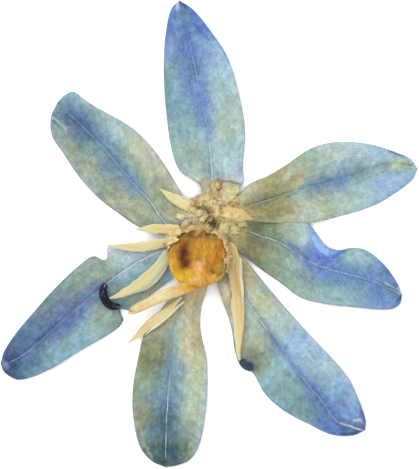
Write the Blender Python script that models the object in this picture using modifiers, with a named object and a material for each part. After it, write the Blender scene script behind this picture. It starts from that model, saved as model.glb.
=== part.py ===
"""Siberian squill flower, pressed flat and lying face up. Metres, +Z up, origin under the middle.

Seven tepals spread from a small receptacle. The stamens' filaments lie on them, two still with
an anther, the ovary with its bent style lies over the middle, and frayed tissue lies above it.
"""

import math

import bmesh
import bpy
from mathutils import Matrix, Vector
from mathutils.geometry import interpolate_bezier

MM = 0.001

# Driving dimensions in millimetres. Plan positions are seen from above, with +Y to the top tepal.
CENTRE = Vector((-0.2, 0.2))
TEPAL_THICK = 0.6
LAYER_GAP = 0.15
RECEPTACLE_RADIUS = 1.25
RECEPTACLE_HEIGHT = 0.5
RECEPTACLE_RIM = 0.3  # height at which its side turns in towards the scar
SCAR_RADIUS = 0.55
BOSS_RADIUS = 0.72
CLAW_LIFT = RECEPTACLE_HEIGHT + LAYER_GAP
CLAW_FLAT_RADIUS = 1.35
CLAW_FOOT_RADIUS = 2.9
FILAMENT_FLATNESS = 0.8
FILAMENT_HALF = 0.27
STYLE_FLATNESS = 0.85
OVARY_MIDDLE = Vector((-0.7, -1.5, 2.0))
OVARY_HALF = Vector((2.0, 1.93, 1.0))
OVARY_UNDERSIDE = 0.6  # it is pressed flatter below than above
OVARY_SQUARENESS = 2.4  # 2 is an ellipse seen from above
OVARY_SIDES = 28
OVARY_RINGS = 14
FURROW_PLACE = 0.36  # across the ovary, as a share of its half width
FURROW_WIDTH = 0.13
FURROW_DEPTH = 0.12  # as a share of its height

# Each tepal: midrib and margins from claw to tip. "left" is the left margin for an eye at the claw
# looking along the tepal. "dish" lifts the margins, "tip" lifts the tip, and each entry of "lifts"
# is (side, place along the tepal, reach along it, height) for a raised stretch of margin.
TEPALS = {
    "tepal_top": {
        "midrib": [(-0.1, 1.05), (0.15, 2.55), (0.2, 3.65), (0.0, 6.1), (-0.6, 9.35),
                   (-1.25, 12.3), (-1.75, 14.25), (-1.9, 15.15)],
        "left": [(-0.4, 1.1), (-0.45, 2.5), (-0.6, 3.2), (-1.05, 3.55), (-1.9, 4.1), (-2.45, 5.6),
                 (-2.8, 8.05), (-2.95, 11.0), (-2.8, 13.15), (-2.45, 14.6), (-1.9, 15.15)],
        "right": [(0.2, 1.05), (1.0, 2.0), (1.95, 3.05), (2.25, 3.5), (2.2, 4.3), (2.35, 6.75),
                  (2.0, 8.85), (1.25, 11.4), (0.15, 13.15), (-1.05, 14.6), (-1.9, 15.15)],
        "dish": 0.2, "tip": 0.35, "lifts": [(1, 0.62, 0.2, 0.15)],
        "colour": (0.28, 0.42, 0.52),
    },
    "tepal_upper_left": {
        "midrib": [(-1.06, 0.47), (-2.65, 0.6), (-3.85, 2.15), (-5.25, 3.65), (-6.75, 5.45),
                   (-8.05, 6.8), (-9.55, 8.25), (-9.85, 8.55)],
        "left": [(-1.12, 0.22), (-3.2, 0.0), (-4.55, 0.45), (-5.9, 1.35), (-7.15, 2.3),
                 (-8.45, 3.7), (-9.55, 5.35), (-10.2, 6.35), (-10.25, 7.55), (-9.85, 8.55)],
        "right": [(-1.0, 0.72), (-1.3, 1.8), (-1.8, 2.65), (-2.8, 4.35), (-3.85, 5.8),
                  (-5.15, 7.0), (-7.4, 8.3), (-8.1, 8.75), (-8.8, 9.25), (-9.35, 9.05), (-9.85, 8.55)],
        "dish": 0.15, "tip": 0.25, "lifts": [(-1, 0.9, 0.14, 0.25)],
        "colour": (0.33, 0.44, 0.43),
    },
    "tepal_lower_left": {
        "midrib": [(-1.0, -0.2), (-2.85, -0.9), (-4.5, -1.75), (-6.1, -2.8), (-7.75, -4.15),
                   (-9.7, -5.8), (-11.65, -7.55), (-12.8, -8.25), (-13.55, -8.4)],
        "left": [(-0.87, -0.42), (-2.15, -2.55), (-3.7, -3.9), (-5.2, -4.95), (-5.75, -4.9),
                 (-5.75, -5.2), (-5.6, -5.65), (-6.1, -6.25), (-8.4, -7.6), (-10.35, -8.8),
                 (-12.3, -9.5), (-13.25, -9.05), (-13.55, -8.4)],
        "right": [(-1.12, -0.02), (-2.85, -0.3), (-5.15, -0.7), (-6.55, -0.85), (-6.65, -1.55),
                  (-6.9, -1.7), (-7.5, -1.45), (-8.1, -1.75), (-9.7, -3.2), (-11.3, -4.95),
                  (-12.6, -6.5), (-13.3, -7.6), (-13.55, -8.4)],
        "dish": 0.18, "tip": 0.3, "lifts": [(-1, 0.7, 0.2, 0.12)],
        "colour": (0.24, 0.38, 0.46),
    },
    "tepal_bottom": {
        "midrib": [(-0.45, -0.68), (-1.25, -3.0), (-1.9, -4.6), (-2.3, -6.25), (-2.5, -8.85),
                   (-2.7, -11.1), (-2.8, -13.4), (-2.8, -15.15)],
        "left": [(-0.15, -0.75), (0.1, -2.3), (-0.15, -3.65), (-0.5, -4.8), (-0.55, -6.25),
                 (-0.15, -8.3), (-0.15, -10.8), (-0.5, -13.25), (-1.15, -14.6), (-2.1, -15.05),
                 (-2.8, -15.15)],
        "right": [(-0.72, -0.6), (-1.8, -3.0), (-3.05, -4.8), (-4.15, -6.35), (-4.6, -8.05),
                  (-4.95, -10.0), (-4.95, -11.75), (-4.55, -13.7), (-3.75, -14.7), (-2.8, -15.15)],
        "dish": 0.18, "tip": 0.3, "lifts": [(1, 0.75, 0.2, 0.12)],
        "colour": (0.33, 0.42, 0.43),
    },
    "tepal_lower_right": {
        "midrib": [(0.27, -0.6), (1.35, -2.4), (2.2, -3.95), (3.45, -5.8), (4.75, -7.5),
                   (6.1, -9.35), (7.35, -10.9), (8.3, -12.15), (9.3, -12.55), (10.15, -12.75)],
        "left": [(0.45, -0.45), (1.35, -1.2), (2.25, -1.85), (3.05, -2.5), (4.85, -4.65),
                 (6.4, -6.4), (9.05, -9.3), (9.8, -10.9), (10.2, -12.15), (10.15, -12.75)],
        "right": [(0.05, -0.7), (0.4, -2.2), (0.65, -3.6), (1.45, -6.1), (1.7, -7.65),
                  (2.1, -8.65), (2.85, -9.05), (3.6, -10.35), (4.8, -11.45), (6.55, -12.4),
                  (8.0, -13.05), (9.3, -13.1), (10.15, -12.75)],
        "dish": 0.18, "tip": 0.3, "lifts": [(1, 0.78, 0.15, 0.15)],
        "colour": (0.26, 0.40, 0.53),
    },
    "tepal_right": {
        "midrib": [(0.72, 0.0), (2.0, 0.3), (3.45, -0.15), (4.6, -0.55), (6.45, -1.75),
                   (7.85, -2.3), (10.45, -3.0), (12.55, -3.95)],
        "left": [(0.78, 0.25), (2.0, 0.55), (3.1, 0.5), (4.0, 0.95), (5.0, 1.05), (6.1, 1.0),
                 (6.7, 0.45), (7.55, -0.7), (8.3, -1.05), (9.3, -0.9), (10.2, -1.05),
                 (11.4, -2.0), (12.3, -3.25), (12.55, -3.95)],
        "right": [(0.65, -0.25), (1.6, -0.85), (2.45, -1.55), (3.6, -2.45), (4.75, -3.25),
                  (5.9, -4.1), (7.55, -4.55), (9.8, -4.8), (11.75, -4.9), (12.4, -4.55),
                  (12.55, -3.95)],
        "dish": 0.18, "tip": 0.3, "lifts": [(-1, 0.6, 0.1, 0.45)],
        "colour": (0.24, 0.38, 0.50),
    },
    "tepal_upper_right": {
        "midrib": [(0.57, 0.67), (2.0, 1.6), (3.2, 2.0), (5.9, 2.85), (7.85, 3.45),
                   (9.8, 3.95), (11.9, 4.5), (13.55, 4.25)],
        "left": [(0.42, 0.85), (1.25, 1.85), (2.2, 2.85), (2.7, 3.3), (3.85, 3.8), (4.95, 4.45),
                 (6.7, 5.6), (8.5, 6.0), (10.45, 5.85), (12.1, 5.35), (13.15, 4.85), (13.55, 4.25)],
        "right": [(0.72, 0.48), (2.0, 0.8), (4.6, 0.7), (6.65, 0.75), (8.85, 1.25),
                  (10.8, 1.9), (12.4, 2.85), (13.25, 3.6), (13.55, 4.25)],
        "dish": 0.15, "tip": 0.35, "lifts": [],
        "colour": (0.33, 0.44, 0.52),
    },
}
SHEET_ROWS = 26
SHEET_COLUMNS = 3  # on each side of the midrib
BLADE_OPENS = (0.3, 0.65)  # stretch of the tepal over which its margins begin to lift
TIP_CURLS = 0.8  # place along the tepal where its tip begins to lift

# The upper right tepal's right margin lies over its neighbour as far as this place along it.
OVERLAP_TEPAL = "tepal_upper_right"
OVERLAP_LIFT = TEPAL_THICK + LAYER_GAP
OVERLAP_END = 0.46
OVERLAP_FADE = 0.14
OVERLAP_ACROSS = (0.06, 0.69)  # from the midrib towards the margin

# Each filament: its line from base to tip, and its widths at the base, the middle and the tip.
FILAMENTS = {
    "filament_a": ([(-0.85, 1.6), (-1.5, 1.85), (-2.4, 2.35), (-3.2, 2.95)], (0.6, 0.62, 0.35)),
    "filament_b": ([(-1.85, 0.3), (-2.85, 0.35), (-3.85, 0.35), (-4.75, 0.3)], (0.55, 0.62, 0.35)),
    "filament_c": ([(-2.05, -0.45), (-3.2, -0.65), (-4.35, -0.85), (-5.65, -0.85), (-6.7, -0.75)],
                   (0.6, 0.62, 0.35)),
    "filament_d": ([(-2.5, -1.1), (-3.5, -2.4), (-4.6, -3.35), (-5.65, -3.9), (-6.3, -4.1)],
                   (0.7, 0.78, 0.4)),
    "filament_f": ([(-1.95, -4.4), (-2.85, -5.05), (-3.85, -5.85), (-4.7, -6.65), (-5.35, -7.15)],
                   (0.55, 0.68, 0.45)),
    "filament_g": ([(1.2, -0.95), (1.75, -2.65), (1.8, -4.6), (1.95, -6.55), (1.85, -8.0)],
                   (0.6, 0.9, 0.35)),
    "filament_h": ([(0.95, 1.3), (1.7, 1.25), (2.4, 1.05), (3.0, 0.9)], (0.65, 0.7, 0.4)),
}
DROOPING_FILAMENT = "filament_f"  # it hangs past the bottom tepal's margin
DROOP_FROM = Vector((-3.6, -5.65))
DROOP_HEADING = Vector((0.75, 0.66))
DROOP_LENGTH = 1.5
DROOP_DEPTH = 0.45
STUB_FILAMENT = "filament_h"

ANTHER_HEIGHT = TEPAL_THICK + LAYER_GAP + 0.32
ANTHERS = {
    "anther_d": ([(-6.7, -3.2), (-6.85, -3.65), (-6.8, -4.1), (-6.55, -4.5), (-6.15, -4.7),
                  (-5.7, -4.65)], (0.4, 0.52, 0.4)),
    "anther_g": ([(2.2, -8.35), (2.45, -8.55), (2.85, -8.7)], (0.4, 0.52, 0.4)),
}

STYLE_LINE = [(-0.9, -2.4, 2.15), (-1.5, -3.25, 1.85), (-2.4, -3.75, 1.55), (-3.6, -4.3, 1.25),
              (-5.0, -4.97, 1.12)]
STYLE_WIDTHS = (0.95, 0.6, 0.7)

# Frayed tissue above the ovary: flat flakes as (middle, half length, half width, heading, pitch, roll).
FLAKES = [
    ((-0.05, 1.2, 1.75), 0.75, 0.42, 75, -6, 6),
    ((0.3, 1.95, 1.6), 0.7, 0.5, 50, -10, -8),
    ((0.75, 2.55, 1.3), 0.6, 0.5, 30, 14, 10),
    ((0.55, 3.05, 1.15), 0.55, 0.3, 95, -18, 0),
    ((-0.45, 2.15, 1.5), 0.7, 0.25, 160, 8, 10),
]
FLAKE_THICK = 0.4
FLAKE_SIDES = 9
FLAKE_FRAY = ((3, 0.16), (5, 0.1))  # waves round the rim, and their share of the radius

CURVE_STEPS = 12  # between two given points of a smooth line
END_STEPS = (0.04, 0.13)  # distances from a tube's end that its round end needs
TUBE_STEP = 0.3  # about the distance between a tube's other rings
END_SHARE = 0.25  # of the width, for the flat cap that closes a round end
TUBE_ROUNDNESS = 2


def smoothstep(value):
    value = min(max(value, 0.0), 1.0)
    return value * value * (3.0 - 2.0 * value)


def ease(value, start, end):
    """0 up to start, 1 from end, and smooth between."""
    return smoothstep((value - start) / (end - start))


def bump(place, middle, reach):
    """1 at the middle of a stretch, easing to 0 at its ends."""
    return smoothstep(1.0 - abs(place - middle) / reach)


def smooth_line(points, count):
    """count + 1 points, evenly spaced along a smooth curve through the given ones."""
    knots = [Vector(point).to_3d() for point in points]
    ahead = [knots[0] * 2 - knots[1]] + knots + [knots[-1] * 2 - knots[-2]]
    dense = [knots[0]]
    for before, start, end, after in zip(ahead, ahead[1:], ahead[2:], ahead[3:]):
        span = (end - start).length
        leave = (end - before).normalized() * span / 3
        arrive = (after - start).normalized() * span / 3
        dense += interpolate_bezier(start, start + leave, end - arrive, end, CURVE_STEPS + 1)[1:]
    lengths = [0.0]
    for start, end in zip(dense, dense[1:]):
        lengths.append(lengths[-1] + (end - start).length)
    line = []
    segment = 0
    for step in range(count + 1):
        target = lengths[-1] * step / count
        while segment < len(dense) - 2 and lengths[segment + 1] < target:
            segment += 1
        part = (target - lengths[segment]) / (lengths[segment + 1] - lengths[segment])
        line.append(dense[segment].lerp(dense[segment + 1], min(part, 1.0)))
    return line


def claw_lift(point):
    """Height of a tepal's underside over the surface, where its claw climbs onto the receptacle."""
    radius = (Vector(point[:2]) - CENTRE).length
    return CLAW_LIFT * (1.0 - ease(radius, CLAW_FLAT_RADIUS, CLAW_FOOT_RADIUS))


def material(name, colour, roughness):
    made = bpy.data.materials.new(name)
    made.use_nodes = True
    shader = made.node_tree.nodes["Principled BSDF"]
    shader.inputs["Base Color"].default_value = (*colour, 1.0)
    shader.inputs["Roughness"].default_value = roughness
    shader.inputs["Metallic"].default_value = 0.0
    return made


def add_object(name, mesh, finish, group):
    mesh.materials.clear()
    mesh.materials.append(finish)
    obj = bpy.data.objects.new(name, mesh)
    group.objects.link(obj)
    return obj


def tepal_height(name, shape, along, across, point):
    """Height of the underside at a place along (0 claw, 1 tip) and across (-1 left, 1 right)."""
    height = claw_lift(point)
    height += shape["dish"] * ease(along, *BLADE_OPENS) * across**2
    height += shape["tip"] * ease(along, TIP_CURLS, 1.0)
    for side, middle, reach, lift in shape["lifts"]:
        height += lift * bump(along, middle, reach) * max(0.0, across * side) ** 2
    if name == OVERLAP_TEPAL:
        reach = 1.0 - ease(along, OVERLAP_END, OVERLAP_END + OVERLAP_FADE)
        height = max(height, OVERLAP_LIFT * reach * ease(across, *OVERLAP_ACROSS))
    return height


def make_tepal(name, shape, group):
    """A tepal is a sheet between its midrib and its two margins, thickened upwards."""
    midrib, left, right = (smooth_line(shape[line], SHEET_ROWS) for line in ("midrib", "left", "right"))
    build = bmesh.new()
    rows = []
    for step in range(SHEET_ROWS):
        along = step / SHEET_ROWS
        row = []
        for column in range(-SHEET_COLUMNS, SHEET_COLUMNS + 1):
            across = column / SHEET_COLUMNS
            margin = left[step] if across < 0 else right[step]
            point = midrib[step].lerp(margin, abs(across))
            point.z = tepal_height(name, shape, along, across, point)
            row.append(build.verts.new(point * MM))
        rows.append(row)
    tip = midrib[-1].copy()
    tip.z = tepal_height(name, shape, 1.0, 0.0, tip)
    tip = build.verts.new(tip * MM)
    for near, far in zip(rows, rows[1:]):
        for column in range(2 * SHEET_COLUMNS):
            build.faces.new((near[column], near[column + 1], far[column + 1]))
            build.faces.new((near[column], far[column + 1], far[column]))
    for first, second in zip(rows[-1], rows[-1][1:]):
        build.faces.new((first, second, tip))
    bmesh.ops.recalc_face_normals(build, faces=build.faces)
    if sum(face.normal.z for face in build.faces) < 0:
        bmesh.ops.reverse_faces(build, faces=build.faces)
    mesh = bpy.data.meshes.new(name)
    build.to_mesh(mesh)
    build.free()
    mesh.shade_smooth()
    obj = add_object(name, mesh, material(name, shape["colour"], 0.7), group)
    thicken = obj.modifiers.new("Thickness", "SOLIDIFY")
    thicken.thickness = TEPAL_THICK * MM
    thicken.offset = 1.0
    return obj


def tube_curve(name, line, widths, flatness):
    """A flattened curve with round ends, whose width eases between the base, middle and tip."""
    length = sum((end - start).length for start, end in zip(line, line[1:]))
    data = bpy.data.curves.new(name, "CURVE")
    data.dimensions = "3D"
    data.bevel_depth = MM / 2
    data.bevel_resolution = TUBE_ROUNDNESS
    data.use_fill_caps = True
    spline = data.splines.new("POLY")
    spline.points.add(len(line) - 1)
    done = 0.0
    for index, point in enumerate(line):
        if index:
            done += (point - line[index - 1]).length
        base, middle, tip = widths
        width = base + (middle - base) * ease(done / length, 0.0, 0.5)
        width += (tip - middle) * ease(done / length, 0.5, 1.0)
        inset = min(done, length - done) / (width / 2)
        rounding = math.sqrt(1.0 - (1.0 - min(inset, 1.0)) ** 2)
        spline.points[index].co = (point.x * MM, point.y * MM, point.z * MM / flatness, 1.0)
        spline.points[index].radius = width * max(rounding, END_SHARE)
    curve = bpy.data.objects.new(name + "_curve", data)
    curve.scale.z = flatness
    bpy.context.scene.collection.objects.link(curve)
    return curve


def rounded_line(points):
    """A smooth line with extra points close to its two ends, where a round end needs them."""
    length = sum((Vector(end) - Vector(start)).length for start, end in zip(points, points[1:]))
    line = smooth_line(points, max(2, round(length / TUBE_STEP)))
    start = (line[1] - line[0]).normalized()
    end = (line[-1] - line[-2]).normalized()
    head = [line[0] + start * step for step in END_STEPS]
    foot = [line[-1] - end * step for step in reversed(END_STEPS)]
    return line[:1] + head + line[1:-1] + foot + line[-1:]


def mesh_of_curve(curve):
    """The curve's surface as a mesh with its caps joined on, in world space."""
    bpy.context.view_layer.update()
    evaluated = curve.evaluated_get(bpy.context.evaluated_depsgraph_get())
    mesh = bpy.data.meshes.new_from_object(evaluated)
    mesh.transform(curve.matrix_world)
    build = bmesh.new()
    build.from_mesh(mesh)
    bmesh.ops.remove_doubles(build, verts=build.verts, dist=0.0005 * MM)
    bmesh.ops.recalc_face_normals(build, faces=build.faces)
    build.to_mesh(mesh)
    build.free()
    mesh.shade_smooth()
    bpy.data.objects.remove(curve)
    return mesh


def filament_height(name, point):
    """Height of a filament's middle line, one layer above the tepals."""
    height = claw_lift(point) + TEPAL_THICK + LAYER_GAP + FILAMENT_HALF
    if name == STUB_FILAMENT:
        height = OVERLAP_LIFT + TEPAL_THICK + LAYER_GAP + FILAMENT_HALF
    if name == DROOPING_FILAMENT:
        past = (DROOP_FROM - Vector(point[:2])).dot(DROOP_HEADING)
        height -= DROOP_DEPTH * ease(past, 0.0, DROOP_LENGTH)
    return height


def make_filament(name, points, widths, group):
    line = rounded_line(points)
    for point in line:
        point.z = filament_height(name, point)
    mesh = mesh_of_curve(tube_curve(name, line, widths, FILAMENT_FLATNESS))
    return add_object(name, mesh, material(name, (0.72, 0.60, 0.27), 0.6), group)


def make_anther(name, points, widths, group):
    line = rounded_line(points)
    for point in line:
        point.z = ANTHER_HEIGHT
    mesh = mesh_of_curve(tube_curve(name, line, widths, 1.0))
    return add_object(name, mesh, material(name, (0.02, 0.025, 0.05), 0.45), group)


def make_receptacle(group):
    """A turned disc with the stalk's flat scar below and the boss that carries the ovary above."""
    profile = [
        (0.0, CLAW_LIFT + TEPAL_THICK),
        (BOSS_RADIUS, CLAW_LIFT + TEPAL_THICK),
        (BOSS_RADIUS, RECEPTACLE_HEIGHT),
        (RECEPTACLE_RADIUS, RECEPTACLE_HEIGHT),
        (RECEPTACLE_RADIUS, RECEPTACLE_RIM),
        (SCAR_RADIUS, 0.0),
        (0.0, 0.0),
    ]
    build = bmesh.new()
    points = [build.verts.new((radius * MM, 0.0, height * MM)) for radius, height in profile]
    for start, end in zip(points, points[1:]):
        build.edges.new((start, end))
    mesh = bpy.data.meshes.new("receptacle")
    build.to_mesh(mesh)
    build.free()
    obj = add_object("receptacle", mesh, material("receptacle", (0.30, 0.27, 0.13), 0.7), group)
    obj.location = (CENTRE * MM).to_3d()
    turn = obj.modifiers.new("Turn", "SCREW")
    turn.steps = turn.render_steps = 28
    turn.use_merge_vertices = True
    turn.merge_threshold = 1e-6
    turn.use_normal_calculate = True
    return obj


def ovary_mesh():
    """A flattened egg with three soft lobes along its length, from the claw side to the style."""
    build = bmesh.new()
    bmesh.ops.create_uvsphere(build, u_segments=OVARY_SIDES, v_segments=OVARY_RINGS, radius=1.0)
    for vert in build.verts:
        x, y, z = vert.co
        squarish = (abs(x) ** OVARY_SQUARENESS + abs(y) ** OVARY_SQUARENESS) ** (1 / OVARY_SQUARENESS)
        stretch = math.hypot(x, y) / max(squarish, 1e-6)
        furrow = sum(math.exp(-(((x - side * FURROW_PLACE) / FURROW_WIDTH) ** 2)) for side in (-1, 1))
        swell = (1.0 - FURROW_DEPTH * furrow * z) * OVARY_HALF.z if z > 0.0 else OVARY_UNDERSIDE
        vert.co = Vector((
            (x * stretch * OVARY_HALF.x + OVARY_MIDDLE.x) * MM,
            (y * stretch * OVARY_HALF.y + OVARY_MIDDLE.y) * MM,
            (z * swell + OVARY_MIDDLE.z) * MM,
        ))
    mesh = bpy.data.meshes.new("pistil")
    build.to_mesh(mesh)
    build.free()
    mesh.shade_smooth()
    return mesh


def join_all(obj, others):
    """Joins the others into obj by a Boolean union that is applied, and removes them."""
    for other in others:
        union = obj.modifiers.new("Union " + other.name, "BOOLEAN")
        union.operation = "UNION"
        union.solver = "EXACT"
        union.object = other
    bpy.context.view_layer.update()
    evaluated = obj.evaluated_get(bpy.context.evaluated_depsgraph_get())
    joined = bpy.data.meshes.new_from_object(evaluated)
    obj.modifiers.clear()
    obj.data = joined
    for other in others:
        bpy.data.objects.remove(other)


def make_pistil(group):
    finish = material("pistil", (0.56, 0.30, 0.07), 0.5)
    pistil = add_object("pistil", ovary_mesh(), finish, group)
    curve = tube_curve("style", rounded_line(STYLE_LINE), STYLE_WIDTHS, STYLE_FLATNESS)
    join_all(pistil, [add_object("style", mesh_of_curve(curve), finish, group)])
    return pistil


def flake_mesh(name, middle, half_length, half_width, heading, pitch, roll):
    """A frayed scrap: a flat disc with an uneven rim, turned and tilted to its place."""
    build = bmesh.new()
    bmesh.ops.create_cone(
        build, cap_ends=True, segments=FLAKE_SIDES, radius1=1.0, radius2=1.0, depth=FLAKE_THICK
    )
    for vert in build.verts:
        angle = math.atan2(vert.co.y, vert.co.x)
        fray = 1.0 + sum(share * math.sin(waves * angle + heading) for waves, share in FLAKE_FRAY)
        vert.co.x *= half_length * fray
        vert.co.y *= half_width * fray
    turn = (
        Matrix.Rotation(math.radians(heading), 4, "Z")
        @ Matrix.Rotation(math.radians(pitch), 4, "Y")
        @ Matrix.Rotation(math.radians(roll), 4, "X")
    )
    bmesh.ops.transform(
        build, matrix=Matrix.Scale(MM, 4) @ Matrix.Translation(middle) @ turn, verts=build.verts
    )
    mesh = bpy.data.meshes.new(name)
    build.to_mesh(mesh)
    build.free()
    return mesh


def make_torn_tissue(group):
    finish = material("torn_tissue", (0.62, 0.50, 0.33), 0.75)
    flakes = [
        add_object(f"flake_{index}", flake_mesh(f"flake_{index}", *flake), finish, group)
        for index, flake in enumerate(FLAKES)
    ]
    join_all(flakes[0], flakes[1:])
    flakes[0].name = "torn_tissue"
    return flakes[0]


def main():
    for obj in list(bpy.data.objects):
        bpy.data.objects.remove(obj)
    group = bpy.data.collections.new("siberian_squill_flower")
    bpy.context.scene.collection.children.link(group)
    make_receptacle(group)
    for name, shape in TEPALS.items():
        make_tepal(name, shape, group)
    for name, (points, widths) in FILAMENTS.items():
        make_filament(name, points, widths, group)
    for name, (points, widths) in ANTHERS.items():
        make_anther(name, points, widths, group)
    make_pistil(group)
    make_torn_tissue(group)


main()
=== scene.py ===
"""Looks of a pressed siberian squill flower: tepals, stamens, pistil and torn tissue as fine meshes.

Places and sizes are millimetres in the flower's own frame, seen from above with +Y towards the
top tepal. They become metres where a mesh is made. Colours are written as they look on a screen.
"""

import math
from types import SimpleNamespace

import bpy
import numpy as np
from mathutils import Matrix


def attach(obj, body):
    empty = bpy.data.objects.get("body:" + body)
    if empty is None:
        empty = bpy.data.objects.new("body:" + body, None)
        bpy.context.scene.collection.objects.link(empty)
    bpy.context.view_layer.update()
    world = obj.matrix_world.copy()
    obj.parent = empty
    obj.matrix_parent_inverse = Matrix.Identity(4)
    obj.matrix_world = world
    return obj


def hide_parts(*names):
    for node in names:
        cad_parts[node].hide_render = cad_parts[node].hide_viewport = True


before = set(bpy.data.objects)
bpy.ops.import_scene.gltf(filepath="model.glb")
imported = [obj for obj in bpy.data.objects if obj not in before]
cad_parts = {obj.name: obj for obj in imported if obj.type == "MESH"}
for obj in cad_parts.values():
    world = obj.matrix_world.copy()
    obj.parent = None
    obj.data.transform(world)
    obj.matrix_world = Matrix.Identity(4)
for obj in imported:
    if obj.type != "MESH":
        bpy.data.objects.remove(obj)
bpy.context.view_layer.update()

MM = 0.001


def rows(text):
    """The rows of a table, which commas part. Words are names of colours, and the rest are numbers."""
    read = [[word if word[0].isalpha() else float(word) for word in row.split()] for row in text.split(",")]
    return [tuple(row) for row in read]


def tables(**entries):
    """Named tables, read where they are written as text."""
    read = {name: rows(entry) if isinstance(entry, str) else entry for name, entry in entries.items()}
    return SimpleNamespace(**read)


def pairs(numbers):
    """The points of a line, from their numbers in a row."""
    return list(zip(numbers[::2], numbers[1::2]))


# The solids' driving sizes, which the fine pieces follow.
CENTRE = np.array([-0.2, 0.2])
SOLID_THICK = 0.6
LAYER_GAP = 0.15
RECEPTACLE_HEIGHT = 0.5
CLAW_LIFT = RECEPTACLE_HEIGHT + LAYER_GAP
CLAW_FLAT_RADIUS = 1.35
CLAW_FOOT_RADIUS = 2.9
BLADE_OPENS = (0.3, 0.65)
TIP_CURLS = 0.8
CURVE_STEPS = 12

# Each colour's red, green and blue from 0 to 255.
PALETTE = {name: np.array(colour) / 255.0 for name, *colour in rows("""
    pearl 228 232 232, mist 186 204 216, ivory 238 232 204, pale_sage 180 202 194, sage 156 182 170,
    deep_sage 130 160 150, aqua 146 184 190, pale_aqua 172 200 204, teal 122 160 170,
    deep_teal 96 136 152, cyan_teal 92 146 174, dark_teal 46 76 94, sky 146 180 214,
    blue_grey 126 156 186, lavender 166 182 214, periwinkle 114 144 204, cobalt 88 124 206,
    slate 94 123 177, deep_slate 78 108 154, indigo 84 104 154, navy 60 84 120, cream 204 204 172,
    cream_green 186 200 172, sand 184 178 142, khaki 164 158 118, olive 126 130 96,
    olive_sage 142 158 132, moss 102 116 90, brown 132 108 70, ochre 180 152 92, pink_beige 212 184 150,
    umber 84 66 42, char 86 76 48, dark 92 62 18, nub 150 106 36, tan 190 152 94, mauve_brown 164 128 98,
    rusty 182 126 70, lime_cream 206 210 158, peach_gold 226 192 130, khaki_yellow 204 190 120,
    dove 164 168 152, dove_light 200 202 190, shell 232 206 172, flesh 226 168 108, butter 234 218 156,
    straw 226 222 168, pale_green 206 215 196, peach 234 200 138, apricot 230 178 104, gold 230 184 84,
    mustard 202 148 34, yellow 236 190 46, tangerine 214 126 22, rust 152 90 26, plum 84 34 2,
    ink 8 12 26, wet_slate 50 66 88, ink_sheen 92 94 124, ice 190 216 246, bright_sky 148 188 240,
    flap_blue 126 162 236, violet_blue 92 104 208, lilac_grey 140 146 180, night 54 58 100,
    dusk 84 86 150, char_teal 46 62 64, dark_sage 72 106 106, patch_slate 54 68 92,
    grey_stain 100 110 108, olive_brown 128 88 36, olive_gold 200 158 60, amber 216 158 42,
    peach_pink 240 182 118, pale_straw 236 230 184, dull_sage 148 168 152, dull_teal 126 153 160,
    grey_teal 116 141 148, sage_sand 164 172 146, pale_khaki 198 192 154, dull_steel 104 138 166,
    deep_steel 78 110 146, dark_steel 76 106 126, sea_char 64 92 102, river 114 150 194,
    sky_pale 158 188 216, iris 98 132 194""")}
TINT_SHARE = 0.6  # the surfaces' own share of the brightness in the colours above, besides the light's

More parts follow.
